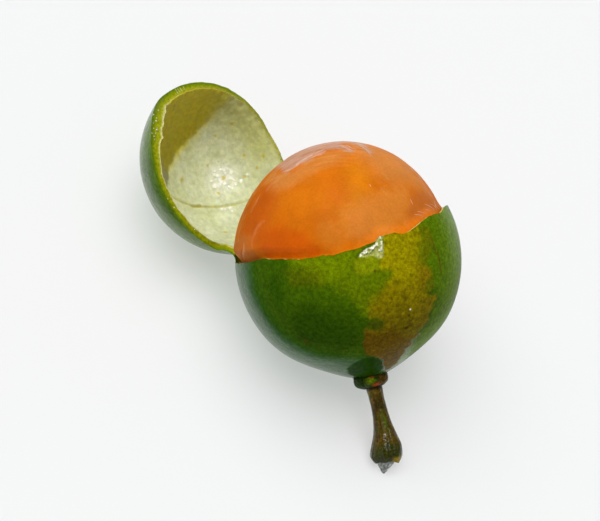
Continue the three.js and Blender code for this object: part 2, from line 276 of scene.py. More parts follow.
def add_mesh(name, points, faces, materials, face_material=None, attributes=None, sharp=None):
    mesh = bpy.data.meshes.new(name)
    mesh.from_pydata(laid(points), [], faces)
    for material in materials:
        mesh.materials.append(material)
    if face_material is not None:
        mesh.polygons.foreach_set("material_index", np.asarray(face_material, np.int32))
    mesh.polygons.foreach_set("use_smooth", np.ones(len(mesh.polygons), bool))
    for key, values in (attributes or {}).items():
        values = np.asarray(values, np.float32)
        if values.ndim == 2:
            data = mesh.attributes.new(key, "FLOAT_COLOR", "POINT").data
            rgba = np.concatenate([values, np.ones((len(values), 1), np.float32)], 1)
            data.foreach_set("color", rgba.ravel())
        else:
            mesh.attributes.new(key, "FLOAT", "POINT").data.foreach_set("value", values)
    if sharp:
        mesh.set_sharp_from_angle(angle=np.radians(sharp))
    mesh.validate()
    mesh.update()
    piece = bpy.data.objects.new(name, mesh)
    bpy.context.scene.collection.objects.link(piece)
    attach(piece, "root")
    return piece


# ---- materials ---------------------------------------------------------------------------------------
class Shader:
    """A Principled material that is put together node by node."""

    def __init__(self, name, **constants):
        self.material = bpy.data.materials.new(name)
        self.material.use_nodes = True
        self.nodes = self.material.node_tree.nodes
        self.link = self.material.node_tree.links.new
        self.surface = self.nodes["Principled BSDF"]
        for socket, value in constants.items():
            self.surface.inputs[socket.replace("_", " ")].default_value = value

    def node(self, kind, inputs=None, **settings):
        made = self.nodes.new(kind)
        for key, value in settings.items():
            setattr(made, key, value)
        for key, value in (inputs or {}).items():
            if isinstance(value, bpy.types.NodeSocket):
                self.link(value, made.inputs[key])
            else:
                made.inputs[key].default_value = value
        return made

    def attribute(self, name, output="Fac"):
        return self.node("ShaderNodeAttribute", attribute_name=name).outputs[output]

    def coordinates(self, scale=(1, 1, 1)):
        """Places on the piece, in millimetres, stretched by these factors."""
        place = self.node("ShaderNodeTexCoord").outputs["Object"]
        stretch = [s / MM for s in scale]
        inputs = {0: place, 1: stretch}
        return self.node("ShaderNodeVectorMath", inputs, operation="MULTIPLY").outputs[0]

    def noise(self, size, detail=2, roughness=0.5, distortion=0, at=None):
        at = at or self.coordinates()
        inputs = {"Vector": at, "Scale": 1 / size, "Detail": detail, "Roughness": roughness,
            "Distortion": distortion}
        return self.node("ShaderNodeTexNoise", inputs).outputs["Fac"]

    def cells(self, size, randomness=1, at=None, output="Distance"):
        at = at or self.coordinates()
        inputs = {"Vector": at, "Scale": 1 / size, "Randomness": randomness}
        return self.node("ShaderNodeTexVoronoi", inputs).outputs[output]

    def ramp(self, value, low, high, out_low=0, out_high=1):
        """The value's range from low to high, eased into another range."""
        inputs = {"Value": value, "From Min": low, "From Max": high, "To Min": out_low, "To Max": out_high}
        made = self.node("ShaderNodeMapRange", inputs, interpolation_type="SMOOTHSTEP")
        return made.outputs["Result"]

    def math(self, operation, a, b=0.0):
        return self.node("ShaderNodeMath", {0: a, 1: b}, operation=operation).outputs[0]

    def mix(self, share, a, b, blend="MIX"):
        made = self.node("ShaderNodeMix", data_type="RGBA", blend_type=blend)
        for socket, value in zip((made.inputs["Factor"], made.inputs[6], made.inputs[7]), (share, a, b)):
            if isinstance(value, bpy.types.NodeSocket):
                self.link(value, socket)
            else:
                plain = np.atleast_1d(value)
                socket.default_value = float(value) if len(plain) == 1 else (*plain, 1)
        return made.outputs[2]

    def bump(self, layers):
        """Heights in millimetres, as (height socket, how far it stands out)."""
        normal = None
        for height, distance in layers:
            inputs = {"Height": height, "Distance": distance * MM, "Strength": 1.0}
            if normal:
                inputs["Normal"] = normal
            normal = self.node("ShaderNodeBump", inputs).outputs[0]
        return normal

    def done(self, colour, roughness, normal=None):
        self.link(colour, self.surface.inputs["Base Color"])
        if isinstance(roughness, bpy.types.NodeSocket):
            self.link(roughness, self.surface.inputs["Roughness"])
        else:
            self.surface.inputs["Roughness"].default_value = roughness
        if normal:
            self.link(normal, self.surface.inputs["Normal"])
            self.link(normal, self.surface.inputs["Coat Normal"])
        return self.material


def skin_material():
    s = Shader("rind_skin", IOR=1.06, Coat_IOR=1.35, Coat_Roughness=0.24)
    # the mark runs from -1 on matte green skin to 1 on russet skin
    mark = s.attribute("mark")
    russet = s.ramp(mark, 0, 1)
    waxy = s.ramp(s.node("ShaderNodeLayerWeight", {"Blend": 0.5}).outputs["Facing"], 0.46, 0.66)
    waxy = s.math("MULTIPLY", waxy, s.ramp(mark, -1, 0, 0.05, 1))
    waxy = s.math("MULTIPLY", waxy, s.ramp(mark, 0, 1, 1, 0.15))
    s.link(waxy, s.surface.inputs["Coat Weight"])
    speckle = s.ramp(s.noise(0.5, 4, 0.62), 0.33, 0.68, 0.76, 1.24)
    fine = s.ramp(s.noise(0.14, 2, 0.6), 0.3, 0.7, 0.82, 1.18)
    colour = s.mix(1.0, s.attribute("tint", "Color"), s.math("MULTIPLY", speckle, fine), "MULTIPLY")
    pores = s.cells(0.7)
    dots = s.math("MULTIPLY", s.ramp(pores, 0.03, 0.13, 1, 0), s.ramp(s.noise(1.7), 0.48, 0.56))
    colour = s.mix(s.math("MULTIPLY", dots, 0.8), colour, rgb(22, 28, 6))
    pale = s.math("MULTIPLY", s.ramp(s.cells(0.9), 0.04, 0.16, 1, 0), s.ramp(s.noise(1.4), 0.46, 0.56))
    pale = s.math("MULTIPLY", pale, s.ramp(russet, 0, 1, 0.16, 0.62))
    colour = s.mix(pale, colour, rgb(172, 150, 40))
    smudge = s.math("MULTIPLY", s.ramp(s.noise(0.9, 4, 0.6), 0.52, 0.66), russet)
    colour = s.mix(s.math("MULTIPLY", smudge, 0.4), colour, rgb(66, 52, 8))
    normal = s.bump([
        (s.noise(1.3, 3, 0.55), 0.07),
        (s.noise(0.5, 2), 0.035),
        (s.ramp(pores, 0.0, 0.26), 0.03),
        (s.noise(0.22, 2), 0.012),
    ])
    return s.done(colour, 0.35, normal)


def inside_material():
    s = Shader("rind_inside", IOR=1.4, Subsurface_Weight=0.25, Subsurface_Scale=1.2 * MM)
    s.surface.inputs["Subsurface Radius"].default_value = (1.0, 0.8, 0.3)
    mottle = s.ramp(s.noise(0.8, 4, 0.62), 0.32, 0.68, 0.9, 1.07)
    colour = s.mix(1.0, s.attribute("tint", "Color"), mottle, "MULTIPLY")
    veins = s.ramp(s.noise(0.55, 3, 0.6, at=s.coordinates((1, 0.45, 1))), 0.36, 0.6, 0.93, 1.04)
    colour = s.mix(1.0, colour, veins, "MULTIPLY")
    dry = s.ramp(s.noise(0.6, 2), 0.3, 0.7, 0.5, 0.62)
    roughness = s.math("SUBTRACT", dry, s.math("MULTIPLY", s.attribute("mark"), 0.36))
    normal = s.bump([
        (s.noise(1.1, 3, 0.55), 0.06),
        (s.noise(0.3, 2), 0.016),
    ])
    return s.done(colour, roughness, normal)


def torn_material():
    s = Shader("rind_torn_edge", IOR=1.18, Subsurface_Weight=0.15, Subsurface_Scale=0.8 * MM)
    s.surface.inputs["Subsurface Radius"].default_value = (0.8, 0.9, 0.2)
    grain = s.ramp(s.noise(0.3, 3, 0.6), 0.3, 0.7, 0.8, 1.17)
    colour = s.mix(1.0, s.attribute("tint", "Color"), grain, "MULTIPLY")
    blots = s.ramp(s.noise(0.7, 3, 0.6), 0.58, 0.7, 0, 0.45)
    colour = s.mix(blots, colour, rgb(74, 88, 4))
    normal = s.bump([(s.noise(0.35, 3, 0.6), 0.06), (s.noise(0.12, 2), 0.012)])
    return s.done(colour, 0.4, normal)


def flesh_material():
    s = Shader("pulp", IOR=1.15, Subsurface_Weight=0.35, Subsurface_Scale=1.2 * MM)
    s.surface.inputs["Subsurface Radius"].default_value = (1.0, 0.55, 0.2)
    clouds = s.ramp(s.noise(2.4, 4, 0.55), 0.3, 0.7, 0.94, 1.05)
    colour = s.mix(1.0, s.attribute("tint", "Color"), clouds, "MULTIPLY")
    fine = s.ramp(s.noise(0.3, 3, 0.6), 0.3, 0.7, 0.95, 1.05)
    colour = s.mix(1.0, colour, fine, "MULTIPLY")
    roughness = s.ramp(s.noise(0.9, 3), 0.3, 0.7, 0.5, 0.64)
    normal = s.bump([
        (s.noise(1.6, 3, 0.5), 0.04),
        (s.noise(0.28, 2), 0.008),
    ])
    return s.done(colour, roughness, normal)


def fibre_material():
    s = Shader("pulp_fibres", IOR=1.35, Subsurface_Weight=0.3, Subsurface_Scale=0.5 * MM)
    s.surface.inputs["Subsurface Radius"].default_value = (1.0, 0.6, 0.3)
    grain = s.ramp(s.noise(0.4, 3, 0.6), 0.3, 0.7, 0.85, 1.1)
    colour = s.mix(1.0, s.attribute("tint", "Color"), grain, "MULTIPLY")
    return s.done(colour, 0.4, s.bump([(s.noise(0.3, 2), 0.02)]))


def calyx_material():
    s = Shader("calyx", IOR=1.15)
    grain = s.ramp(s.noise(0.28, 4, 0.65), 0.3, 0.7, 0.5, 1.5)
    colour = s.mix(1.0, s.attribute("tint", "Color"), grain, "MULTIPLY")
    normal = s.bump([(s.noise(0.45, 3, 0.6), 0.1), (s.noise(0.12, 2), 0.02)])
    return s.done(colour, 0.35, normal)


def stalk_material():
    s = Shader("stalk_bark", IOR=1.3)
    grain = s.ramp(s.noise(0.3, 4, 0.65, at=s.coordinates((1, 1, 0.8))), 0.3, 0.7, 0.55, 1.45)
    colour = s.mix(1.0, s.attribute("tint", "Color"), grain, "MULTIPLY")
    scars = s.ramp(s.cells(0.5), 0.05, 0.16, 0.4, 0)
    colour = s.mix(scars, colour, rgb(120, 106, 50))
    normal = s.bump([(s.noise(0.38, 2, 0.5), 0.09), (s.noise(0.13, 2, 0.5), 0.012)])
    return s.done(colour, s.ramp(s.noise(0.5), 0.3, 0.7, 0.17, 0.3), normal)


# ---- the rind ----------------------------------------------------------------------------------------
tear_curve = round_trip(TEAR_LINE)
cap_edge_curve = round_trip(CAP_EDGE)
cap_thick_curve = round_trip(CAP_EDGE_THICK)


def beyond_strip(azimuth):
    """Degrees outside the strip that holds, and less than 0 inside it."""
    place = wrap(azimuth - FOLD["azimuth"])
    return np.maximum(FOLD["held_from"] - place, place - FOLD["held_to"])


def held(azimuth, fade):
    return 1 - smoothstep(beyond_strip(azimuth), 0, fade)


def tear_at(azimuth):
    """The torn edge's height, with its small teeth."""
    azimuth = np.asarray(azimuth, float)
    round_edge = direction(azimuth, 0) * RIND["radius"]
    flat = round_edge.reshape(-1, 3)
    teeth = 0.45 * layered(flat, 1.5, 3) + 0.22 * noise(flat, 0.45, 5)
    return tear_curve(azimuth) + teeth.reshape(azimuth.shape) * smoothstep(beyond_strip(azimuth), 0, 6)


def rind_radius(height):
    swell = RIND["stalk_swell"] * np.exp(-(((height + 90) / RIND["swell_angle"]) ** 2))
    off_middle = (height - FULLNESS["height"]) / FULLNESS["spread"]
    return RIND["radius"] + swell + FULLNESS["by"] * np.exp(-(off_middle**2))


def rind_thickness(azimuth, height):
    below = np.radians(tear_curve(azimuth) - height) * RIND["radius"]
    edge = lerp(RIND["torn_thick"], cap_thick_curve(0), held(azimuth, 12))
    return lerp(edge, RIND["thick"], smoothstep(below, 0, RIND["torn_taper"]))


def cap_frame():
    """The cap's centre, and the directions of its pole, of the fold and across both."""
    out = direction(FOLD["azimuth"], FOLD["height"])
    up = direction(FOLD["azimuth"], FOLD["height"] + 90)
    hinge = np.cross([0, 0, 1], direction(FOLD["azimuth"], 0))
    outside = rotated(out, hinge, FOLD["angle"])
    towards_pole = rotated(rotated(up, hinge, FOLD["angle"]), outside, FOLD["twist"])
    edge = np.radians(CAP["edge"])
    pole = outside * np.cos(edge) + towards_pole * np.sin(edge)
    to_fold = outside * np.sin(edge) - towards_pole * np.cos(edge)
    centre = out * RIND["radius"] - outside * CAP["radius"]
    return centre, pole, to_fold, np.cross(pole, to_fold)


CAP_CENTRE, CAP_POLE, CAP_TO_FOLD, CAP_ACROSS = cap_frame()


def cap_direction(around, from_pole):
    a, p = np.broadcast_arrays(np.radians(around), np.radians(from_pole))
    a, p = a[..., None], p[..., None]
    return CAP_POLE * np.cos(p) + CAP_TO_FOLD * np.sin(p) * np.cos(a) + CAP_ACROSS * np.sin(p) * np.sin(a)


def cap_place(around, from_pole, depth):
    return CAP_CENTRE + cap_direction(around, from_pole) * (CAP["radius"] - depth)[..., None]


def cap_edge_at(around):
    around = np.asarray(around, float)
    ring = (cap_direction(around, 76) * CAP["radius"]).reshape(-1, 3)
    teeth = 0.5 * layered(ring, 1.6, 21) + 0.25 * noise(ring, 0.5, 23)
    outside = np.maximum(FOLD["held_from"] - wrap(around), wrap(around) - FOLD["held_to"])
    return cap_edge_curve(around) + teeth.reshape(around.shape) * smoothstep(outside, 0, 6)


def cap_thickness(around, from_pole):
    inside = np.radians(cap_edge_curve(around) - from_pole) * CAP["radius"]
    ring = (cap_direction(around, 76) * CAP["radius"]).reshape(-1, 3)
    uneven = 1 + (0.14 * noise(ring, 1.3, 25) + 0.07 * noise(ring, 0.5, 26)).reshape(np.shape(around))
    outside = np.maximum(FOLD["held_from"] - wrap(around), wrap(around) - FOLD["held_to"])
    uneven = lerp(1, uneven, smoothstep(outside, 0, 8))
    return lerp(cap_thick_curve(around) * uneven, CAP["thick"], smoothstep(inside, 0, CAP["torn_taper"]))


def places_of(points):
    """The azimuth and height of points round the fruit's centre."""
    height = np.degrees(np.arcsin(np.clip(unit(points)[:, 2], -1, 1)))
    return np.degrees(np.arctan2(points[:, 1], points[:, 0])) % 360, height


def on_skin(*pixels):
    """The (azimuth, height) places on the cup's skin that the camera sees at these pixels."""
    towards = seen(pixels, lambda d: rind_radius(places_of(d)[1]))
    return list(zip(*places_of(towards)))


def on_lining(*pixels):
    """The (round the fold, from the pole) places on the lining that the camera sees at these pixels."""
    towards = seen(pixels, lambda d: CAP["radius"] - CAP["thick"], CAP_CENTRE, side=1)
    around = np.degrees(np.arctan2(towards @ CAP_ACROSS, towards @ CAP_TO_FOLD))
    return list(zip(around, np.degrees(np.arccos(towards @ CAP_POLE))))


# Places are given by the picture's pixels or by angles.
# The chip is a flake off the skin at the tear, and the crease a fold line inside the cap.
CHIP_DEPTH = 0.22
CHIP = [
    *on_skin((359, 257), (360, 253), (364, 250.5), (368, 248), (372, 246), (375, 243), (376, 240)),
    (286.5, 8.5),
    (290, 9.5), *on_skin((383, 240), (382.5, 246), (384, 251), (384, 256), (380, 258), (378, 258),
    (372, 255.5), (366, 257.5)),
]
CHIP_CRUMBS = [
    [*on_skin((360, 256), (364, 253)), (280, 2)], [*on_skin((365, 251), (369, 249), (374, 247))],
    [*on_skin((374, 247), (378, 243), (380, 237.5))],
    [(285, 1.5), *on_skin((382.5, 246)), (286.8, 5.5)],
]
CREASE = [
    (95, 24), (75, 15), *on_lining((172, 196.5), (176, 199), (180, 201.3), (184, 203), (188, 204),
    (193, 206), (198, 206.5), (204, 206.5), (210, 207), (216, 207), (222, 206.3), (228, 205.5),
    (235, 204.5), (247, 201.5)), (-63, 60),
]
# a darker spot along the crease
CREASE_DARK_SPOT = on_lining((192, 206), (196, 206.5), (200, 205.5))
SKIN_CENTRE = (285, -25)


def chip_share(points, azimuth, height):
    ragged = 0.5 * layered(points, 0.8, 31) + 0.3 * noise(points, 0.3, 34)
    inside = within(chart(azimuth, height, SKIN_CENTRE), chart(*np.array(CHIP).T, SKIN_CENTRE))
    return smoothstep(inside + ragged, -0.3, 0.3)


def chip_crumbs(points):
    """The chip's bright glossy crumbs, in broken ridges."""
    nearest = np.full(len(points), 1e9)
    for ridge in CHIP_CRUMBS:
        nearest = np.minimum(nearest, near_path(points, direction(*np.array(ridge).T) * RIND["radius"])[0])
    broken = smoothstep(noise(points, 0.42, 37), -0.25, 0.2)
    return broken * (1 - smoothstep(nearest + 0.2 * noise(points, 0.5, 35), 0.08, 0.3))


def skin_undulation(points):
    return 0.05 * layered(points, 6, 41, 2) + 0.018 * layered(points, 1.6, 43, 2)


def column_angles(middle, held_cells, free_cells, fine):
    """Angles of the columns round a bowl: the held ones first, from one end of the strip to the other.

    The others draw together round a place, given as (angle, spread, how much).
    """
    start, end = middle + FOLD["held_from"], middle + FOLD["held_to"]
    holding = lerp(start, end, np.arange(held_cells) / held_cells)
    steps = np.linspace(end, start + 360, 4000)
    density = 1 + fine[2] * np.exp(-((wrap(steps - fine[0]) / fine[1]) ** 2))
    total = np.concatenate([[0], np.cumsum((density[1:] + density[:-1]) / 2)])
    free = np.interp(np.arange(free_cells) / free_cells * total[-1], total, steps)
    return np.concatenate([holding, free])


class Builder:
    """Collects points with their colours and marks, and faces with their materials."""

    def __init__(self):
        self.points, self.tints, self.marks, self.faces, self.kinds, self.count = [], [], [], [], [], 0

    def add(self, points, tints, marks=0.0):
        points = points.reshape(-1, 3)
        ids = np.arange(self.count, self.count + len(points))
        self.count += len(points)
        self.points.append(points)
        self.tints.append(np.broadcast_to(tints, points.shape))
        self.marks.append(np.broadcast_to(marks, len(points)))
        return ids

    def quads(self, a, b, c, d, kind):
        quads = np.stack([a.ravel(), b.ravel(), c.ravel(), d.ravel()], 1)
        self.faces += quads.tolist()
        self.kinds += [kind] * len(quads)

    def fan(self, tip, ring, kind, flip=False):
        following = np.roll(ring, -1)
        rim = (following, ring) if flip else (ring, following)
        self.faces += np.stack([np.full(len(ring), tip), *rim], 1).tolist()
        self.kinds += [kind] * len(ring)

    def grid(self, ids, kind, closed=True, flip=False):
        """Faces between rows of ids. The columns close on themselves, unless they are open."""
        right = np.roll(ids, -1, axis=1) if closed else ids[:, 1:]
        left = ids if closed else ids[:, :-1]
        a, b, c, d = left[:-1], right[:-1], right[1:], left[1:]
        if flip:
            self.quads(a, d, c, b, kind)
        else:
            self.quads(a, b, c, d, kind)

    def tube(self, middle, out, width, tint):
        """A thin closed strand along a path, flattened against what it lies on and tapered at its ends."""
        along = unit(np.gradient(middle, axis=0))
        side = unit(np.cross(out, along))
        share = np.linspace(0, 1, len(middle))
        thick = width * np.maximum(np.sin(np.pi * share), 0.03)[:, None] ** 0.6
        turns = np.arange(6) * np.pi / 3
        rings = [middle + thick * (side * np.cos(a) + 0.6 * out * np.sin(a)) for a in turns]
        ids = self.add(np.stack(rings, 1), tint).reshape(len(middle), 6)
        self.grid(ids, 0)
        self.fan(self.add(middle[:1], tint)[0], ids[0], 0, flip=True)
        self.fan(self.add(middle[-1:], tint)[0], ids[-1], 0)

    def blob(self, centre, radius, tint, seed):
        """A small lump, not quite round."""
        heights = np.linspace(-60, 60, 5)[:, None]
        around = np.arange(8) * 45
        knobs = direction(np.broadcast_to(around, (5, 8)), np.broadcast_to(heights, (5, 8))).reshape(-1, 3)
        uneven = 1 + 0.35 * noise(knobs + seed, 0.9, 7)[:, None]
        ids = self.add(centre + radius * knobs * uneven, tint).reshape(5, 8)
        self.grid(ids, 0)
        self.fan(self.add(centre - np.array([[0, 0, radius]]), tint)[0], ids[0], 0, flip=True)
        self.fan(self.add(centre + np.array([[0, 0, radius]]), tint)[0], ids[-1], 0)

    def made(self, name, materials, sharp=None):
        attributes = {"tint": np.concatenate(self.tints), "mark": np.concatenate(self.marks)}
        return add_mesh(name, np.concatenate(self.points), self.faces, materials, self.kinds, attributes,
            sharp)


# Soft areas of the green skin: tint, softness of the edge in degrees, amount, corners as (azimuth, height).
GREENS = [
    ((92, 124, 4), 5, 1.0, [
        (304, 12), (320, 19), (345, 22), (10, 14), (6, -30), (345, -60), (318, -72), (313, -50), (319, -28),
        (311, -18), (305, -8)]),
    ((108, 142, 8), 8, 1.0, [(332, 22), (10, 20), (20, -30), (345, -62), (322, -74), (322, -55),
    (332, -32)]),
    ((46, 78, 1), 5, 1.0, [
        (221, -1), (230, -1), (234, -5), (231, -13.5), (226, -21), (223.5, -18), (220, -7)]),
    ((40, 70, 1), 8, 0.9, [
        (226, -21), (243, -17), (253.5, -23), (263.5, -28), (270, -34), (268, -43), (262, -49), (254, -48),
        (242, -44), (231, -40), (226, -33)]),
    ((104, 124, 2), 5, 1.0, [
        (240, 7), (255.5, 5), (267.5, 5), (275, 4),
        *on_skin((359, 258), (354, 262), (354, 270), (360, 276), (350, 282), (335, 285), (318, 282),
        (305, 272)), (241, 2)]),
    ((92, 92, 3), 4, 0.5, [*on_skin((285, 272), (300, 268), (318, 272), (325, 283), (310, 288),
    (292, 285))]),
    ((94, 114, 3), 3.5, 1.0, [
        (266, -5), (274, -2), (284, -2), (292, -6), (294, -13), (290, -19), (282.5, -24), (277, -31),
        (271, -29),
        (268, -20), (262, -14)]),
    ((128, 139, 6), 1.2, 0.8, [
        (271.5, -0.5), (274.5, 0.5), (278.5, 0),
        *on_skin((378, 257), (381, 262), (379, 268), (374, 271), (366, 275), (358, 274), (354, 268))]),
    ((116, 118, 4), 2.5, 0.8, [
        (307, 9.5), (316, 9.5), (317.5, 4), (315, -1.5), (312, -7), (308.5, -9.5), (304, -6)]),
    ((116, 116, 5), 1.6, 0.8, [
        (308, -9), (313, -12), (314, -16),
        *on_skin((434, 286), (430, 292), (426, 290), (431, 283), (424, 274))]),
]
STALK_END = [
    (228, -73), (240, -67), (252, -62.5), (264, -59),
    *on_skin((372, 357), (379, 358), (384, 363), (384, 367)),
    (291, -79), *on_skin((387, 450), (374, 452)), (226, -78),
]
OLIVE = [
    (289.5, 10), (292.5, 9), (297, 8.5), (303, 8.5), (308.5, 9), (308, 3), (305.5, -1),
    *on_skin((418, 258), (421, 262), (427, 267)), (313, -13.5),
    *on_skin((431, 278), (426, 284), (425, 293), (430, 296), (437, 292), (437, 298)),
    (315.5, -30.5), (317.5, -33), (314, -36), (318, -39), (315.5, -42.5), (310.5, -45), (314.5, -48.5),
    (308.5, -51.5),
    (313.5, -55), (307.5, -58.5), (313.5, -62.5), (311, -66), (318.5, -71), (316.5, -76), (307.5, -79),
    *on_skin((384, 368), (383, 361), (379, 357), (372, 356), (366, 354), (363, 348), (364, 340), (363, 334),
    (366, 329), (373, 328), (382, 328), (384, 322), (379, 319), (370, 318), (369, 310), (370, 303),
    (376, 297), (380, 294)),
    (284.5, -16.5), (288, -13), (289.5, -10.5),
    *on_skin((388, 268), (381, 268), (380, 263), (384, 257), (385, 250), (384, 243)),
]
# Places where the olive side fades out softly, and how far round them, in degrees.
SOFT_PLACES = [
    (on_skin((419, 245))[0], 9), (on_skin((387, 275))[0], 6), (on_skin((378, 295))[0], 6),
    (on_skin((372, 303))[0], 5), (on_skin((377, 323))[0], 4), (on_skin((424, 272))[0], 6),
    (on_skin((428, 290))[0], 4),
]
RUSSET_RIGHT = [*on_skin((420, 264), (427, 267), (431, 273), (430, 279), (426, 284), (421, 281), (419, 272))]
DARK_OLIVE = [*on_skin((371, 319), (380, 319), (384, 323), (382, 330), (372, 330), (366, 325))]
YELLOW = [
    (280, 10), (297, 12), (312, 12), (312, -5), (309, -12), (300, -15), (293, -17), (288, -15), (282, -8),
    (280, 0),
]
BROWN = [
    (262, -34), (276, -39.5), (282.5, -41.5), (287.5, -40), (293.5, -42), (301, -47), (315, -55), (325, -75),
    (300, -85), (262, -75), (255, -55),
]
STREAKS = [
    (0.22, 0.7, [(315.5, 3), (316.5, 0.5), (317, -2), (317.5, -6)]),
    (0.2, 0.75, [(318.5, -4), (319.5, -8), (320, -11.5), (321.5, -17.5)]),
    (0.22, 0.6, [(331.5, -21), (330.5, -24), (329.5, -27.5)]),
    (0.3, 0.8, [(329, -36), (331, -34.5), (334, -33.5)]),
    (0.3, 0.8, [(321, -56.5), (323, -53.5), (326, -51)]),
    (0.34, 0.7, [(230.5, -34.5), (231, -38), (231.5, -41.5)]),
]
SPOTS = [
    (*on_skin((246, 269))[0], 0.2, (30, 38, 8)), (*on_skin((375, 271))[0], 0.26, (92, 78, 14)),
    (*on_skin((370, 370))[0], 0.2, (14, 24, 4)),
    (*on_skin((404, 313))[0], 0.26, (140, 122, 8)), (*on_skin((407, 321))[0], 0.24, (136, 118, 10)),
    (*on_skin((424, 305))[0], 0.22, (136, 120, 8)),
    (298.5, -34, 0.3, (66, 50, 6)), (*on_skin((406, 328))[0], 0.4, (66, 48, 6)),
    (288, -27, 0.24, (120, 104, 6)),
    (*on_skin((370, 318))[0], 0.3, (118, 108, 8)), (*on_skin((377, 316))[0], 0.34, (124, 114, 8)),
    (*on_skin((403, 313))[0], 0.3, (138, 124, 10)),
    (*on_skin((352, 301))[0], 0.24, (78, 82, 8)), (*on_skin((362, 325))[0], 0.2, (66, 44, 12)),
]


def skin_tint(points):
    """Greens and browns of the skin by place on the cup, and its mark: -1 where it is matte, 1 where it is
    russet.
    """
    azimuth, height = places_of(points)
    flat = chart(azimuth, height, SKIN_CENTRE)
    broad, mid, small = layered(points, 9, 51), layered(points, 2.2, 55), layered(points, 0.7, 58)
    speck = noise(points, 0.4, 63)
    colour = lerp(rgb(54, 86, 2), rgb(70, 98, 3), np.clip(0.5 + broad, 0, 1)[:, None])
    # the left and lower sides are a purer green
    from_front = chart(azimuth, height, (270, 0))
    side = smoothstep(np.linalg.norm(from_front, axis=-1), 48, 68) * smoothstep(from_front[:, 0], 35, 10)
    colour = lerp(colour, rgb(26, 82, 2), side[:, None])
    # the right side is darker and duller
    right = smoothstep(from_front[:, 0], 20, 34)
    for tint, edge, amount, corners in GREENS:
        ragged = (0.5 + 0.55 * edge) * mid + 1.1 * small
        colour = area(colour, tint, flat, corners, SKIN_CENTRE, edge, ragged, amount)
    for width, amount, path in STREAKS:
        colour = stroke(colour, (104, 66, 14), points, direction(*np.array(path).T) * RIND["radius"],
                        width * (1 + 0.5 * small), amount)
    colour = colour * ((1 + 0.12 * small + 0.1 * speck) * (1 - 0.2 * right))[:, None]
    stalk_end = smoothstep(within(flat, chart(*np.array(STALK_END).T, SKIN_CENTRE)) + mid + small, -1.4, 1.4)
    colour = lerp(colour, rgb(30, 64, 2), stalk_end[:, None])

    olive = lerp(rgb(128, 115, 3), rgb(114, 100, 4), smoothstep(height, -20, -38)[:, None])
    olive = area(olive, (143, 133, 3), flat, YELLOW, SKIN_CENTRE, 6, 4.5 * mid + 2.2 * small, 1.0)
    olive = area(olive, (118, 98, 8), flat, RUSSET_RIGHT, SKIN_CENTRE, 3, 2 * mid + small, 0.7)
    olive = area(olive, (104, 80, 5), flat, BROWN, SKIN_CENTRE, 3.5, 2.4 * mid + 1.6 * small, 1.0)
    far = within(flat, chart(*np.array(OLIVE).T, SKIN_CENTRE)) + 1.3 * mid + 1.3 * small + 0.6 * speck
    soft = sum(np.exp(-((flat - chart(*place, SKIN_CENTRE)) ** 2).sum(-1) / reach**2) for place,
        reach in SOFT_PLACES)
    blur = 0.6 + 3.0 * np.clip(soft, 0, 1)
    share = smoothstep(far / blur, -1, 1)
    mottles = 1 + 0.26 * small + 0.22 * speck + 0.12 * mid
    colour = lerp(colour, olive * mottles[:, None], share[:, None])
    colour = area(colour, (68, 76, 5), flat, DARK_OLIVE, SKIN_CENTRE, 1.6, mid + small, 0.85)
    for at_azimuth, at_height, size, tint in SPOTS:
        spot = direction(at_azimuth, at_height) * RIND["radius"]
        away = np.linalg.norm(points - spot, axis=-1) * (1 + 0.4 * small)
        colour = lerp(colour, rgb(*tint), (1 - smoothstep(away, size * 0.5, size * 1.1))[:, None])
    freckle = smoothstep(layered(points, 0.9, 61), 0.1, 0.5)[:, None] * 0.22
    matte = np.maximum(stalk_end, right * lerp(0.68, 0.86, smoothstep(height, 0, -22)))
    mark = lerp(-matte, share * smoothstep(height, 4, -26), share)
    return lerp(colour, colour * 0.6, freckle), mark


def cup_tint(points):
    """The skin's colours with the chip, and the mark that goes with them."""
    colour, mark = skin_tint(points)
    share = chip_share(points, *places_of(points))[:, None]
    bright = np.clip(chip_crumbs(points) + 0.3 * noise(points, 0.28, 73), 0, 1)[:, None]
    pale = lerp(rgb(138, 146, 52), rgb(180, 182, 108),
        np.clip(0.5 + 1.2 * layered(points, 0.6, 71)[:, None], 0, 1))
    return lerp(colour, lerp(pale, rgb(238, 238, 218), bright), share), lerp(mark, -0.65, share[:, 0])


def chip_relief(points):
    """How far the chip lies under the skin, with its crumbs standing up again."""
    share = chip_share(points, *places_of(points))
    crumbs = chip_crumbs(points) * (0.22 + 0.16 * noise(points, 0.32, 36))
    return share * (crumbs - CHIP_DEPTH + 0.06 * noise(points, 0.5, 33))


def cap_skin_tint(points, around):
    from_pole = np.degrees(np.arccos(np.clip(unit(points - CAP_CENTRE) @ CAP_POLE, -1, 1)))
    broad = np.clip(0.5 + layered(points, 8, 81), 0, 1)[:, None]
    colour = lerp(rgb(62, 97, 7), rgb(84, 116, 11), broad)
    dark = smoothstep(layered(points, 1.1, 85), 0.1, 0.6)[:, None] * 0.25
    colour = colour * (1 - dark)
    near_edge = smoothstep(cap_edge_curve(around) - from_pole, 5, 0.5)
    colour = lerp(colour, rgb(96, 124, 4), (0.6 * near_edge)[:, None])
    # on the side by the pulp the torn edge is thin, and the skin there is as pale as the lining
    thin = smoothstep(np.cos(np.radians(wrap(around - 243))), 0.72, 0.9)
    thin = thin * smoothstep(cap_edge_curve(around) - from_pole, 3.2, 0.6)
    return lerp(colour, rgb(140, 144, 56), thin[:, None])


def flat_cap(around, from_pole):
    """The cap's places on a flat chart round its pole, in degrees."""
    return np.stack([from_pole * np.cos(np.radians(around)), from_pole * np.sin(np.radians(around))], -1)


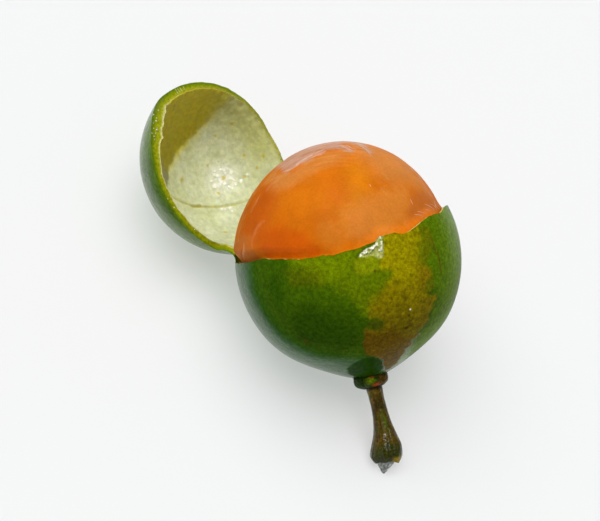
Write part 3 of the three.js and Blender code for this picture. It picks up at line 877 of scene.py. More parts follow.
def inside_tint(points, around, from_pole):
    """The cap's pale lining, yellower towards the torn edge that is farthest from the fold, with the rim's
    shadow painted there in a deeper olive and painted highlights on its wet spots, and its wetness.
    """
    broad = np.clip(0.5 + 0.9 * layered(points, 3.2, 91), 0, 1)[:, None]
    colour = lerp(rgb(186, 193, 144), rgb(202, 208, 174), broad)
    warm = smoothstep(np.cos(np.radians(wrap(around - 85))), 0.5, 0.95) * smoothstep(from_pole, 20, 45)
    colour = lerp(colour, rgb(214, 206, 134), (0.85 * warm)[:, None])
    # painted shade: where the rim's shadow falls, the lining is painted a deeper olive
    olive = within(flat_cap(around, from_pole), flat_cap(*np.array(PAINTED_SHADE_LINING).T))
    olive = olive + 3 * layered(points, 1.5, 98)
    colour = lerp(colour, rgb(206, 198, 26), (0.95 * smoothstep(olive, -4, 5))[:, None])
    near_rim = smoothstep(np.cos(np.radians(wrap(around - 238))), 0.7, 0.98) * smoothstep(from_pole, 46, 70)
    colour = lerp(colour, rgb(186, 190, 96), (0.6 * near_rim)[:, None])
    # painted highlight: a whitish glow round the wet place, where the light is reflected
    painted_glow = np.exp(-(np.linalg.norm(points - cap_path([WET_PLACE]), axis=-1) / 2.3) ** 2)
    colour = lerp(colour, rgb(226, 230, 212), (0.8 * painted_glow)[:, None])
    veins = smoothstep(np.abs(noise(points * (1, 1, 0.45), 1.2, 95)), 0.16, 0.0)[:, None] * 0.14
    veins = veins + smoothstep(np.abs(noise(points, 0.8, 96)), 0.12, 0.0)[:, None] * 0.08
    colour = lerp(colour, rgb(164, 168, 84), veins)
    distance, share = near_path(points, cap_path(CREASE))
    fades = smoothstep(share, 0.0, 0.16) * smoothstep(share, 1.0, 0.84)
    colour = lerp(colour, rgb(172, 166, 76), (0.7 * fades * (1 - smoothstep(distance, 0.04, 0.26)))[:, None])
    distance, share = near_path(points, cap_path(CREASE_DARK_SPOT))
    colour = lerp(colour, rgb(156, 150, 52), (0.8 * (1 - smoothstep(distance, 0.06, 0.4)))[:, None])
    ragged = 1 + 0.4 * noise(points, 0.35, 97)
    for at_around, at_from, size, tint in SPECKS:
        far = np.linalg.norm(points - cap_path([(at_around, at_from)]), axis=-1) * ragged
        colour = lerp(colour, rgb(*tint), 0.85 * (1 - smoothstep(far, size * 0.35, size * 1.1))[:, None])
    wet = 1 - smoothstep(np.linalg.norm(points - cap_path([WET_PLACE]), axis=-1), 1.3, 2.3)
    # painted highlights: the wet spots are painted near-white as glints
    colour = lerp(colour, rgb(240, 241, 228), 0.85 * glint_share(points, 1.0)[:, None])
    return colour, np.maximum(wet, glint_share(points, 1.4))


def cap_path(places):
    """Places on the cap's lining, given by angles round the fold and from the pole."""
    around, from_pole = np.array(places, float).T
    return cap_place(around, from_pole, np.full(len(around), CAP["thick"]))


# Painted shade: the part of the lining, round the cap and down from its pole, where the rim's shadow falls,
# painted the most olive.
PAINTED_SHADE_LINING = [
    (-144, 84), (-146, 71), (-146, 59),
    *on_lining((205, 125), (197, 135), (185, 147), (175, 160), (167, 172)), (140, 24),
    (142, 40), (146, 56), (152, 74), (170, 84), (-170, 84),
]
YELLOW_SPECK, GREY_SPECK = (186, 168, 54), (142, 132, 124)
SPECKS = [(*place, YELLOW_SPECK) for place in (
    (*on_lining((244, 155))[0], 0.3), (*on_lining((263, 156))[0], 0.34), (*on_lining((257, 168))[0], 0.24),
    (*on_lining((244.5, 176.5))[0], 0.34), (*on_lining((223.5, 178))[0], 0.42),
    (*on_lining((218.5, 193))[0], 0.28),
    (*on_lining((232, 124))[0], 0.36), (*on_lining((182, 180))[0], 0.4), (*on_lining((225, 232))[0], 0.34),
    (*on_lining((178, 112))[0], 0.22), (*on_lining((215, 136))[0], 0.24),
    (*on_lining((226, 243))[0], 0.26), (*on_lining((208, 165.5))[0], 0.26),
    (*on_lining((196, 133))[0], 0.18), (*on_lining((214, 118))[0], 0.2), (60, 45, 0.3), (100, 55, 0.26),
)] + [(*place, GREY_SPECK) for place in (
    (*on_lining((218.5, 161.5))[0], 0.09), (*on_lining((223.5, 163.5))[0], 0.08),
    (*on_lining((229.5, 163.5))[0], 0.08), (-106.5, 35.5, 0.07), (-124, 40, 0.07),
    (-84.5, 52.5, 0.1), (-115, 52, 0.07), (-140, 30, 0.07), (168, 60, 0.14),
)]
WET_PLACE = on_lining((223, 177))[0]
GLINTS_SEEN = [
    ((217.7, 175.5), 0.39), ((219.5, 179.5), 0.34), ((221, 182), 0.36), ((219, 185), 0.47),
    ((215, 187), 0.31),
    ((215, 185), 0.21), ((230, 177.5), 0.34), ((232, 178), 0.26), ((231, 172.5), 0.29),
    ((227.5, 169.5), 0.23),
    ((224, 170.5), 0.21), ((225, 173), 0.21), ((240.5, 181.5), 0.26), ((247, 174.5), 0.21),
    ((232.5, 188.5), 0.21),
    ((230, 187), 0.18), ((225.5, 184), 0.18), ((236, 185), 0.16), ((212, 181), 0.16), ((215, 171.5), 0.18),
    ((222, 209), 0.29), ((225, 209.5), 0.21), ((230, 208), 0.29), ((232, 211), 0.21), ((234, 180), 0.16),
]
GLINTS = [(*on_lining(pixel)[0], size) for pixel, size in GLINTS_SEEN]
# Round the cap: how far across the torn edge its pale inner part starts.
PALE_FROM = [
    (0, 1.1), (60, 1.1), (80, 1.0), (90, 0.9), (112, 0.9), (125, 0.88), (135, 0.8), (150, 0.8), (160, 0.8),
    (190, 0.72), (215, 0.45), (228, 0.15), (262, 0.12), (300, 0.35), (327, 0.9),
]
# Round the cup, the same for the light lines along its torn edge.
CUP_PALE_FROM = [
    (0, 0.8), (219, 0.9), (221, 0.1), (236, 0.1), (237, 0.9), (238, 0.2), (244, 0.2), (246, 0.9), (262, 0.9),
    (263, 0.5), (270, 0.5), (271, 0.9), (302, 0.9), (304, 0.2), (312, 0.2), (314, 0.9), (340, 0.8),
]


def glint_share(points, widened):
    """Small wet spots on the lining, from 0 to 1. They are painted near-white as highlights."""
    ragged = 1 + 0.45 * noise(points, 0.35, 98)
    most = np.zeros(len(points))
    for around, from_pole, size in GLINTS:
        far = np.linalg.norm(points - cap_path([(around, from_pole)]), axis=-1) * ragged
        most = np.maximum(most, 1 - smoothstep(far / (size * widened), 0.3, 1.1))
    return most


def inside_relief(points, around, from_pole):
    """How far the cap's lining stands in: lumps, and the groove with a low lip under it."""
    distance, share = near_path(points, cap_path(CREASE))
    sunk = -0.15 * (1 - smoothstep(distance, 0.0, 0.28))
    groove = sunk + 0.05 * (1 - smoothstep(np.abs(distance - 0.5), 0, 0.35))
    lumps = 0.08 * layered(points, 3.5, 101) + 0.035 * layered(points, 1.1, 105, 2)
    return groove + lumps + 0.06 * glint_share(points, 1.5)


HELD_CELLS, CUP_CELLS, CAP_CELLS = 80, 560, 470
STRIP_ROWS = 22
EDGE_ROWS = 10
SKIN, INSIDE, TORN = 0, 1, 2


def edge_rows(count, fine):
    """Row places from 0 to 1, which draw together towards 1."""
    t = np.linspace(0, 1, count + 1)[1:]
    return 1 - (1 - t) ** fine


def build_rind():
    b = Builder()
    cup_az = column_angles(FOLD["azimuth"], HELD_CELLS, CUP_CELLS, (281, 13, 1.6))
    cap_ar = column_angles(0, HELD_CELLS, CAP_CELLS, (140, 35, 0.8))

    # the cup
    rows = edge_rows(185, 1.3)[:, None]
    height = lerp(-90, tear_at(cup_az)[None], rows)
    azimuth = np.broadcast_to(cup_az, height.shape)
    plain = direction(azimuth, height) * rind_radius(height)[..., None]
    flat = plain.reshape(-1, 3)
    lift = (skin_undulation(flat) + chip_relief(flat)).reshape(height.shape)
    outer = plain * (1 + lift / RIND["radius"])[..., None]
    cup_out = b.add(outer, *cup_tint(flat)).reshape(height.shape)
    tip = b.add(direction(0, -90) * rind_radius(-90), skin_tint(np.array([[0.01, 0, -16.0]]))[0])[0]
    b.grid(cup_out, SKIN)
    b.fan(tip, cup_out[0], SKIN, flip=True)

    rows = edge_rows(60, 1.5)[:, None]
    height = lerp(-90, tear_at(cup_az)[None], rows)
    azimuth = np.broadcast_to(cup_az, height.shape)
    depth = rind_thickness(azimuth, height)
    inner = direction(azimuth, height) * (rind_radius(height) - depth)[..., None]
    tone = np.clip(0.5 + layered(inner.reshape(-1, 3), 2, 111), 0, 1)[:, None]
    cup_in = b.add(inner, lerp(rgb(170, 172, 92), rgb(200, 200, 140), tone)).reshape(height.shape)
    tip = b.add(direction(0, -90) * (rind_radius(-90) - RIND["thick"]), rgb(190, 190, 120))[0]
    b.grid(cup_in, INSIDE, flip=True)
    b.fan(tip, cup_in[0], INSIDE)

    # the cap
    def cap_rows(count, fine):
        from_pole = cap_edge_at(cap_ar)[None] * edge_rows(count, fine)[:, None]
        return np.broadcast_to(cap_ar, from_pole.shape), from_pole

    around, from_pole = cap_rows(105, 1.2)
    plain = cap_place(around, from_pole, np.zeros(around.shape))
    lift = skin_undulation(plain.reshape(-1, 3)).reshape(around.shape)
    outer = cap_place(around, from_pole, -lift)
    cap_out = b.add(outer, cap_skin_tint(outer.reshape(-1, 3), around.ravel())).reshape(around.shape)
    tip = b.add(CAP_CENTRE + CAP_POLE * CAP["radius"], rgb(70, 98, 26))[0]
    b.grid(cap_out, SKIN, flip=True)
    b.fan(tip, cap_out[0], SKIN)

    around, from_pole = cap_rows(125, 1.15)
    depth = cap_thickness(around, from_pole)
    plain = cap_place(around, from_pole, depth)
    flat = plain.reshape(-1, 3)
    fade = smoothstep(cap_edge_curve(around) - from_pole, 0.5, 5)
    relief = inside_relief(flat, around.ravel(), from_pole.ravel()).reshape(around.shape) * fade
    inner = cap_place(around, from_pole, depth + relief)
    cap_in = b.add(inner, *inside_tint(flat, around.ravel(), from_pole.ravel())).reshape(around.shape)
    tip = b.add(CAP_CENTRE + CAP_POLE * (CAP["radius"] - CAP["thick"]), rgb(208, 209, 160))[0]
    b.grid(cap_in, INSIDE)
    b.fan(tip, cap_in[0], INSIDE, flip=True)

    # the folded strip, one path for each column
    points = np.concatenate(b.points)
    cols = np.arange(HELD_CELLS + 1)
    co, ci, po, pi = (points[grid[-1][cols]] for grid in (cup_out, cup_in, cap_out, cap_in))
    start, end = (co + ci) / 2, (po + pi) / 2
    gap = np.linalg.norm(start - end, axis=-1, keepdims=True) * FOLD["ease"]
    leave = direction(cup_az[cols], tear_at(cup_az[cols]) + 90) * gap
    edge = cap_edge_at(cap_ar[cols])
    into = unit(cap_direction(cap_ar[cols], edge - 4) - cap_direction(cap_ar[cols], edge + 4)) * gap
    start_half, end_half = (co - ci) / 2, (po - pi) / 2
    axis = unit(np.cross(start_half, end_half))
    angle = np.degrees(np.arccos((unit(start_half) * unit(end_half)).sum(-1)))
    reach = [np.linalg.norm(v, axis=-1, keepdims=True) for v in (start_half, end_half)]
    strip_out, strip_in = [cup_out[-1][cols]], [cup_in[-1][cols]]
    for i in range(1, STRIP_ROWS):
        t = i / STRIP_ROWS
        middle = start * (2 * t**3 - 3 * t**2 + 1) + leave * (t**3 - 2 * t**2 + t)
        middle = middle + end * (3 * t**2 - 2 * t**3) + into * (t**3 - t**2)
        across = unit(rotated(start_half, axis, angle * t)) * lerp(*reach, t)
        wrinkle = 0.06 * noise(middle * (1, 1, 2.4), 0.9, 121)[:, None] * np.sin(np.pi * t)
        out, within_strip = middle + across * (1 + wrinkle), middle - across * (1 + wrinkle)
        green = lerp(skin_tint(out)[0], cap_skin_tint(out, cap_ar[cols]), smoothstep(t, 0, 1))
        strip_out.append(b.add(out, green))
        strip_in.append(b.add(within_strip, rgb(186, 186, 112)))
    strip_out.append(cap_out[-1][cols])
    strip_in.append(cap_in[-1][cols])
    strip_out, strip_in = np.array(strip_out), np.array(strip_in)
    b.grid(strip_out, SKIN, closed=False)
    b.grid(strip_in, INSIDE, closed=False, flip=True)

    # the torn edge, all the way round the cup's rim, up one side of the strip, round the cap and back
    def loop(cup, strip_side, cap, other_side):
        cup_part = np.append(cup[HELD_CELLS:], cup[0])
        cap_part = np.append(cap[HELD_CELLS:], cap[0])[::-1]
        return np.concatenate([cup_part, strip_side, cap_part, other_side])

    outer_loop, inner_loop = (
        loop(cup[-1], strip[1:-1, 0], cap[-1], strip[1:-1, -1][::-1])
        for cup, strip, cap in ((cup_out, strip_out, cap_out), (cup_in, strip_in, cap_in)))
    plain_side = np.full(STRIP_ROWS - 1, 0.8)
    pale_from = loop(np.interp(cup_az, *np.array(CUP_PALE_FROM).T, period=360), plain_side,
                     np.interp(cap_ar, *np.array(PALE_FROM).T, period=360), plain_side)[:, None]
    on_cap = loop(0 * cup_az, 0 * plain_side, 0 * cap_ar + 1, 0 * plain_side)[:, None]
    shaded = loop(0 * cup_az, 0 * plain_side, smoothstep(np.abs(wrap(cap_ar - 205)), 75, 25),
        0 * plain_side)[:, None]
    pale = lerp(rgb(214, 198, 98), lerp(rgb(184, 180, 84), rgb(142, 140, 40), shaded), on_cap)
    points = np.concatenate(b.points)
    p, q = points[outer_loop], points[inner_loop]
    along = np.roll(p, -1, axis=0) - np.roll(p, 1, axis=0)
    outward = unit(np.cross(along, p - q))
    thickness = np.linalg.norm(p - q, axis=-1, keepdims=True)
    tints = np.concatenate([np.broadcast_to(t, pts.shape) for t, pts in zip(b.tints, b.points)])
    first, last = tints[outer_loop], tints[inner_loop]
    rows, places = [outer_loop], [p]
    for i in range(1, EDGE_ROWS):
        s = i / EDGE_ROWS
        at = lerp(p, q, s)
        rough = layered(at, 0.7, 131)[:, None]
        ragged = 0.35 * rough + 0.2 * noise(at, 0.3, 133)[:, None]
        out = at + outward * thickness * (4 * s * (1 - s)) * (0.12 + 0.3 * ragged)
        tint = lerp(first, lerp(rgb(104, 126, 2), rgb(142, 148, 8), smoothstep(s, 0.1, 0.6)),
            smoothstep(s, 0.0, 0.2))
        tint = lerp(tint, pale, smoothstep(s + 0.14 * rough, pale_from - 0.07, pale_from + 0.07))
        tint = lerp(tint, last, 0.5 * smoothstep(s, 0.85, 1.0))
        rows.append(b.add(out, tint))
        places.append(out)
    places.append(q)
    rows.append(inner_loop)
    b.grid(np.array(rows), TORN, flip=False)
    cap_part = slice(CUP_CELLS + STRIP_ROWS, CUP_CELLS + STRIP_ROWS + CAP_CELLS + 1)
    torn = dict(places=np.array(places)[:, cap_part], outward=outward[cap_part],
                around=np.append(cap_ar[HELD_CELLS:], cap_ar[0])[::-1])
    return b.made("rind_peeled", [skin_material(), inside_material(), torn_material()], sharp=60), torn


# Crumbs on the cap's torn edge: angle round the cap, share of the way in, radius. Then its pale ridges.
RIM_CRUMBS = [
    (139.5, 0.4, 0.09), (131, 0.1, 0.1), (129.5, 0.4, 0.08), (127.5, 0.4, 0.11), (122, 0.6, 0.08),
    (120.5, 0.6, 0.1),
    (120.5, 0.3, 0.08), (116, 0.1, 0.09), (114.5, 0.3, 0.1), (112.5, 0.4, 0.07), (117.5, 0.5, 0.07),
    (124, 0.2, 0.07),
    (73.5, 0.3, 0.07), (67, 0.5, 0.08), (46.5, 0.8, 0.09), (152, 0.3, 0.06),
]
RIM_RIDGES = [(168.3, 0.06), (169.8, 0.05), (172, 0.06), (174.5, 0.05)]


def build_crumbs(torn):
    b = Builder()
    for seed, (around, share, radius) in enumerate(RIM_CRUMBS):
        column = np.argmin(np.abs(wrap(torn["around"] - around)))
        centre = torn["places"][round(share * EDGE_ROWS), column] + 0.3 * radius * torn["outward"][column]
        b.blob(centre, radius, rgb(232, 232, 224), seed)
    for around, width in RIM_RIDGES:
        column = np.argmin(np.abs(wrap(torn["around"] - around)))
        path = torn["places"][1:8, column]
        steps = through(np.column_stack([np.arange(len(path)), path]), np.linspace(0, len(path) - 1, 20))
        b.tube(steps, torn["outward"][column], width, rgb(206, 204, 128))
    b.blob(direction(299, -31) * (rind_radius(-31) + 0.02), 0.13, rgb(222, 214, 190), 40)
    return b.made("rind_crumbs", [torn_material()])


# ---- the flesh ---------------------------------------------------------------------------------------
def flesh_relief(points):
    return 0.06 * layered(points, 5, 151, 2) + 0.022 * layered(points, 1.5, 153, 2)


def flesh_path(places, steps=8):
    """A smooth path over the flesh through (azimuth, height) places."""
    k = np.arange(len(places), dtype=float)
    azimuth, height = through(np.column_stack([k, places]), np.linspace(0, k[-1], steps * len(places))).T
    points = flesh_place(azimuth, height)
    return points * (1 + flesh_relief(points) / FLESH["radius"])[:, None]


def flesh_place(azimuth, height):
    d = direction(azimuth, height)
    behind = held(azimuth, 7)
    edge = tear_curve(azimuth) + FLESH_CLEAR * behind
    inside = rind_radius(height) - rind_thickness(azimuth, height) - GAP
    squeezed = RIND["radius"] - lerp(RIND["torn_thick"], RIND["thick"], behind) - GAP
    under = np.minimum(inside, squeezed)
    lean = FLESH["lean"] * d[..., 0] * (1 - FLESH["lean_fade"] * d[..., 2])
    bare = FLESH["radius"] + FLESH["apex_rise"] * d[..., 2] ** 2 - lean
    share = smoothstep((height - edge) / FLESH["bulge_angle"], 0, 1)
    return d * lerp(under, bare, share)[..., None]


def on_flesh(*pixels):
    """The (azimuth, height) places on the pulp that the camera sees at these pixels."""
    towards = seen(pixels, lambda d: np.linalg.norm(flesh_place(*places_of(d)), axis=-1))
    return list(zip(*places_of(towards)))


FLESH_CENTRE = (275, 35)
# Soft areas of the pulp: tint, softness of the edge in degrees, amount, corners as (azimuth, height).
ORANGES = [
    ((212, 124, 6), 6, 0.85, [
        *on_flesh((350, 165), (362, 162), (372, 185), (368, 200), (352, 215), (345, 230), (335, 222),
        (350, 200))]),
    ((190, 88, 4), 6, 0.85, [(196, 15), (222, 12), (228, 22), (232, 40), (226, 50), (208, 54), (198, 45)]),
    ((198, 84, 0), 4, 0.85, [
        *on_flesh((262, 236), (280, 228), (300, 232), (318, 245), (330, 251)), (250, 4), (238.5, 5),
        (223.5, 8),
        (221.5, 13)]),
    ((202, 116, 26), 2.5, 0.8, [
        *on_flesh((318, 222), (332, 220), (342, 230), (345, 245)), (265, 5), (258.5, 7), (255.5, 14.5)]),
    ((206, 125, 44), 5, 0.85, [
        *on_flesh((345, 215), (365, 200), (385, 188), (405, 190), (412, 205), (408, 218), (400, 227)),
        (288.5, 9), (277, 8.5), (271, 12)]),
    ((190, 102, 36), 3.5, 0.7, [
        (318, 27), (336, 29), (345, 24), (343, 17), (328, 15), (316, 12), (307.5, 12), (307.5, 17)]),
    ((184, 84, 4), 2.2, 0.8, [
        *on_flesh((250, 216), (258, 201), (266, 190), (270, 200), (262, 215), (258, 225), (252, 232),
        (247, 238), (244, 235), (246, 225))]),
    ((186, 102, 30), 1.6, 0.9, [
        *on_flesh((237, 241), (245, 233), (252, 236), (250, 245), (254, 252)), (219, 8), (212, 6), (202, 6),
        (170, 6),
        (170, 14)]),
    # painted sheen: a soft, light haze under the painted sheen on the pulp's top
    ((200, 124, 52), 4, 0.85, [
        (205, 60), *on_flesh((279, 172), (290, 172), (303, 163), (320, 155), (345, 151), (346, 160),
        (330, 166), (310, 175), (292, 186), (277, 192), (270, 186)), (203, 50)]),
    ((204, 130, 60), 10, 0.75, [
        (296, 62), (300, 45), (308, 36), (338, 28), (347, 44), (345, 60), (325, 76), (300, 76)]),
]
# A dull, pinkish painted sheen over the pulp's top, which stands in for the light reflected there.
PAINTED_SHEEN = [
    (196, 62), (204, 61), *on_flesh((284, 171.5), (288, 171), (293, 168.5), (297, 166), (301, 163.5),
    (306, 160.5), (312, 157), (318, 154), (325, 151), (330, 149.5), (338, 148.8), (344, 149),
    (350, 151), (352, 149), (347, 146.5), (343, 145), (342, 143.5), (350, 143), (356, 144),
    (361, 147), (366, 150.5), (371, 154.5), (372, 152.5), (369, 149), (365, 145.5)), (338, 70),
    (0, 70), (25, 66), (60, 62), (95, 60), (130, 58), (160, 60),
]
# Veins of the pulp, and pale streaks that are painted highlights: tint, width in millimetres, amount,
# (azimuth, height) places.
VEINS_AND_HIGHLIGHTS = [
    ((210, 172, 152), 0.36, 0.7, [
        *on_flesh((284, 171.5), (291, 169), (296, 166.5), (298, 163), (304, 159), (310, 156), (316, 152.5),
        (324, 149.5))]),
    ((208, 166, 144), 0.34, 0.55, [*on_flesh((312, 157), (319, 154.5), (325, 151))]),
    ((200, 168, 158), 0.8, 0.4,
    [*on_flesh((306, 149.5), (312, 147.5), (325, 144), (340, 142.3), (356, 141.8))]),
    ((208, 166, 144), 0.3, 0.5, [*on_flesh((339, 144), (346, 147), (350, 150))]),
    ((208, 166, 144), 0.36, 0.5, [*on_flesh((355, 142), (362, 146), (367, 150), (371, 153))]),
    ((180, 96, 28), 0.28, 0.5, [*on_flesh((323, 149), (318, 150.5), (314, 153.5), (313, 156))]),
    ((184, 98, 24), 0.28, 0.5, [*on_flesh((338, 144.5), (343, 143.5), (348, 144), (353, 147))]),
    ((176, 118, 84), 0.22, 0.6, [*on_flesh((300, 157), (305, 155), (310, 151))]),
    ((208, 156, 130), 0.4, 0.5, [*on_flesh((410, 167.5), (414, 170.5), (418, 174), (420, 179))]),
    ((206, 130, 72), 0.42, 0.35,
    [*on_flesh((266, 221), (261, 223), (257, 228), (254, 235), (252, 243), (253, 250))]),
    ((166, 76, 16), 0.4, 0.7, [*on_flesh((262, 187), (256, 195), (250, 205), (245, 215))]),
    ((166, 76, 16), 0.34, 0.7, [*on_flesh((251, 201), (246, 210), (242, 221), (239, 232))]),
    ((170, 82, 22), 0.3, 0.7, [*on_flesh((238.5, 240), (237, 250)), (190, 11)]),
    ((170, 82, 22), 0.3, 0.7, [*on_flesh((242, 249), (242, 256), (242, 262))]),
    ((204, 142, 92), 0.45, 0.5,
    [*on_flesh((259, 185.5)), (190.5, 45), (187.5, 39.5), *on_flesh((242, 215))]),
    ((204, 138, 86), 0.45, 0.45, [*on_flesh((260, 195), (255, 204), (251, 213))]),
    ((204, 138, 86), 0.4, 0.5, [*on_flesh((244, 214), (241, 224), (239, 234), (238, 243))]),
    ((206, 146, 96), 0.3, 0.7, [*on_flesh((244, 243), (243.5, 251), (244, 259))]),
    ((206, 138, 84), 0.4, 0.4, [*on_flesh((271, 180), (281, 176), (290, 173))]),
    ((206, 138, 84), 0.4, 0.4, [*on_flesh((266, 192), (272, 184), (281, 178))]),
    ((208, 142, 96), 0.5, 0.4,
    [*on_flesh((411, 168.5), (418, 176.5), (426, 187.5), (432, 197), (437, 205))]),
    ((214, 142, 60), 0.3, 0.35, [*on_flesh((382, 172), (386, 176), (389, 180.5))]),
    ((214, 142, 60), 0.3, 0.35, [*on_flesh((380, 187), (385, 193), (390, 197.5))]),
]
# Loose fibres on the pulp: thickness in millimetres, (azimuth, height) places.
FIBRES = [
    (0.06, [*on_flesh((424, 204), (428, 205.5), (432, 208), (434.5, 211))]),
    (0.05, [*on_flesh((425, 209), (428, 210), (430.5, 212))]),
    (0.05, [*on_flesh((417, 211.5), (421, 212), (425, 213.5))]),
    (0.05, [*on_flesh((434, 201.5), (435.5, 206), (438.5, 209))]),
    (0.05, [*on_flesh((410, 199), (413, 205))]),
    (0.05, [*on_flesh((430, 204), (434, 206), (437, 210))]),
    (0.05, [*on_flesh((414, 214.5), (419, 215), (423, 216.5))]),
    (0.06, [*on_flesh((338, 145), (344, 147.5), (350, 150.5))]),
    (0.06, [*on_flesh((346, 144.5), (351, 148), (357, 149.5))]),
    (0.05, [*on_flesh((359, 145.5), (364, 148), (368, 152), (371.5, 156.5))]),
    (0.05, [*on_flesh((356, 144.5), (363, 145.5), (369, 149.5))]),
    (0.04, [*on_flesh((369.5, 184), (371, 186.5))]),
]


def flesh_tint(points, azimuth, height):
    broad, mid, small = layered(points, 5, 141), layered(points, 2.2, 143), layered(points, 0.8, 146)
    colour = lerp(rgb(199, 101, 2), rgb(206, 112, 6), np.clip(0.5 + broad, 0, 1)[:, None])
    flat = chart(azimuth, height, FLESH_CENTRE)
    # brush-like streaks, which run round the pulp's front
    front = chart(azimuth, height, (270, 0))
    bearing = np.degrees(np.arctan2(front[:, 1], front[:, 0])) + 4 * mid
    streaks = noise(np.stack([np.linalg.norm(front, axis=-1) / 1.6, bearing / 13, 0 * bearing], -1), 1, 148)
    for tint, edge, amount, corners in ORANGES:
        ragged = (0.6 + 0.5 * edge) * mid + 0.8 * small + 1.8 * streaks
        colour = area(colour, tint, flat, corners, FLESH_CENTRE, edge, ragged, amount)
    ragged = 2.2 * mid + 1.1 * small + 2.2 * streaks
    # the painted sheen's borders are crisp on the front and fade out softly on the back
    from_front = np.linalg.norm(front, axis=-1)
    soft = smoothstep(from_front, 78, 92)
    colour = area(colour, (186, 140, 114), flat, PAINTED_SHEEN, FLESH_CENTRE, lerp(2.4, 14, soft),
        ragged + 5 * soft * broad,
                  0.95 * smoothstep(from_front + 7 * broad, 108, 80))
    # painted sheen: streaks towards the pulp's top that turn paler and bluer, or darker
    sheen_streaks = smoothstep(height, 45, 70) * np.clip(0.16 * streaks, -0.12, 0.12)
    colour = colour * (1 + sheen_streaks[:, None] * (0.8, 1.6, 3))
    # painted light: the pulp just above the tear is brightened, to cancel the shade there
    low = smoothstep(height - tear_curve(azimuth), 7.5, 2) * smoothstep(np.abs(wrap(azimuth - 275)), 62, 45)
    colour = colour * (1 + 0.3 * low[:, None])
    # veins, and pale painted highlights along the pulp's top and edges
    for tint, width, amount, places in VEINS_AND_HIGHLIGHTS:
        colour = stroke(colour, tint, points + 0.12 * np.stack([mid, small, small], -1),
            flesh_path(places, 3),
                        width * (1 + 0.7 * small), amount * np.clip(0.8 + 0.9 * mid, 0.2, 1.2))
    return colour


def build_flesh():
    columns = np.arange(500) * 360 / 500
    rows = np.concatenate([np.linspace(-88, -12, 30), np.linspace(-11.5, 89.6, 235)])[:, None]
    height, azimuth = np.broadcast_arrays(rows, columns[None])
    flat, az, ht = flesh_place(azimuth, height).reshape(-1, 3), azimuth.ravel(), height.ravel()
    bare = smoothstep(ht - tear_curve(az), 3, 8)
    tint = flesh_tint(flat, az, ht)
    b = Builder()
    ids = b.add(flat * (1 + flesh_relief(flat) * bare / FLESH["radius"])[:, None],
        tint).reshape(height.shape)
    b.grid(ids, 0)
    b.fan(b.add(flesh_place(0, -90), tint[0])[0], ids[0], 0, flip=True)
    b.fan(b.add(flesh_place(0, 90), tint[-1])[0], ids[-1], 0)
    return b.made("pulp", [flesh_material()])


def build_fibres():
    """Thin pale fibres that lie half sunk on the pulp."""
    b = Builder()
    for width, places in FIBRES:
        path = flesh_path(places, 10)
        b.tube(path + 0.2 * width * unit(path), unit(path), width, rgb(222, 172, 142))
    return b.made("pulp_fibres", [fibre_material()])


# ---- calyx and stalk ---------------------------------------------------------------------------------
def lofted(name, rows, material, close_first, close_last):
    """A closed solid from rows of (points, tints) with as many columns each."""
    b = Builder()
    ids = np.array([b.add(points, tints) for points, tints in rows])
    b.grid(ids, 0, flip=True)
    b.fan(b.add(*close_first)[0], ids[0], 0)
    b.fan(b.add(*close_last)[0], ids[-1], 0, flip=True)
    return b.made(name, [material])


def build_calyx():
    azimuth = np.arange(240) * 1.5
    a = np.radians(azimuth)
    lobe = np.abs(np.cos(np.radians(azimuth - CALYX["lobe_at"]) * CALYX["lobes"] / 2)) ** 0.6
    downs = np.linspace(CALYX_PROFILE[0][0], CALYX_PROFILE[-1][0], 48)
    rows = []
    for down, (share,) in zip(downs, through(CALYX_PROFILE, downs)):
        r = share * (CALYX["radius"] - 0.22 * (1 - lobe))
        points = np.stack([CALYX["stray"] + r * np.cos(a), r * np.sin(a),
            -down + 0.03 * r * r * (down < 16.6)], -1)
        lumps = 0.11 * layered(points, 1.0, 161) + 0.05 * noise(points, 0.35, 162)
        points = points + lumps[:, None] * unit(points * (1, 1, 0))
        tone = np.clip(0.5 + layered(points, 0.8, 163), 0, 1)[:, None]
        tint = lerp(rgb(34, 54, 6), rgb(44, 66, 10), tone)
        rough = 8 * layered(points, 0.6, 165)
        brown = smoothstep(wrap(azimuth - 296) + rough, -7, 7) * smoothstep(wrap(azimuth - 80), 120, 60)
        tint = lerp(tint, lerp(rgb(66, 46, 6), rgb(104, 78, 12), tone), brown[:, None])
        lime = np.exp(-((wrap(azimuth - 268) / 15) ** 2) - ((down - 16.35 + 0.012 * rough) / 0.34) ** 2)
        tint = lerp(tint, rgb(124, 148, 4), np.clip(1.25 * lime, 0, 1)[:, None])
        red = np.exp(-((wrap(azimuth - 287) / 13) ** 2) - ((down - 16.95 + 0.02 * rough) / 0.2) ** 2)
        tint = lerp(tint, rgb(176, 64, 12), np.clip(1.3 * red, 0, 0.95)[:, None])
        top_red = np.exp(-((wrap(azimuth - 272) / 8) ** 2) - ((down - 16.0) / 0.12) ** 2)
        tint = lerp(tint, rgb(190, 98, 50), np.clip(1.2 * top_red, 0, 0.85)[:, None])
        # painted shade: darker where the calyx meets the ball and where it meets the stalk
        crevice_shade = max(smoothstep(down, 15.97, 15.86), smoothstep(down, 17.05, 17.3))
        tint = lerp(tint, rgb(26, 20, 4), 0.9 * crevice_shade)
        rows.append((points, tint))
    top, bottom = (np.array([[CALYX["stray"], 0, -downs[k]]]) for k in (0, -1))
    return lofted("calyx_lobes", rows, calyx_material(), (top, rgb(30, 30, 8)), (bottom, rgb(30, 26, 8)))


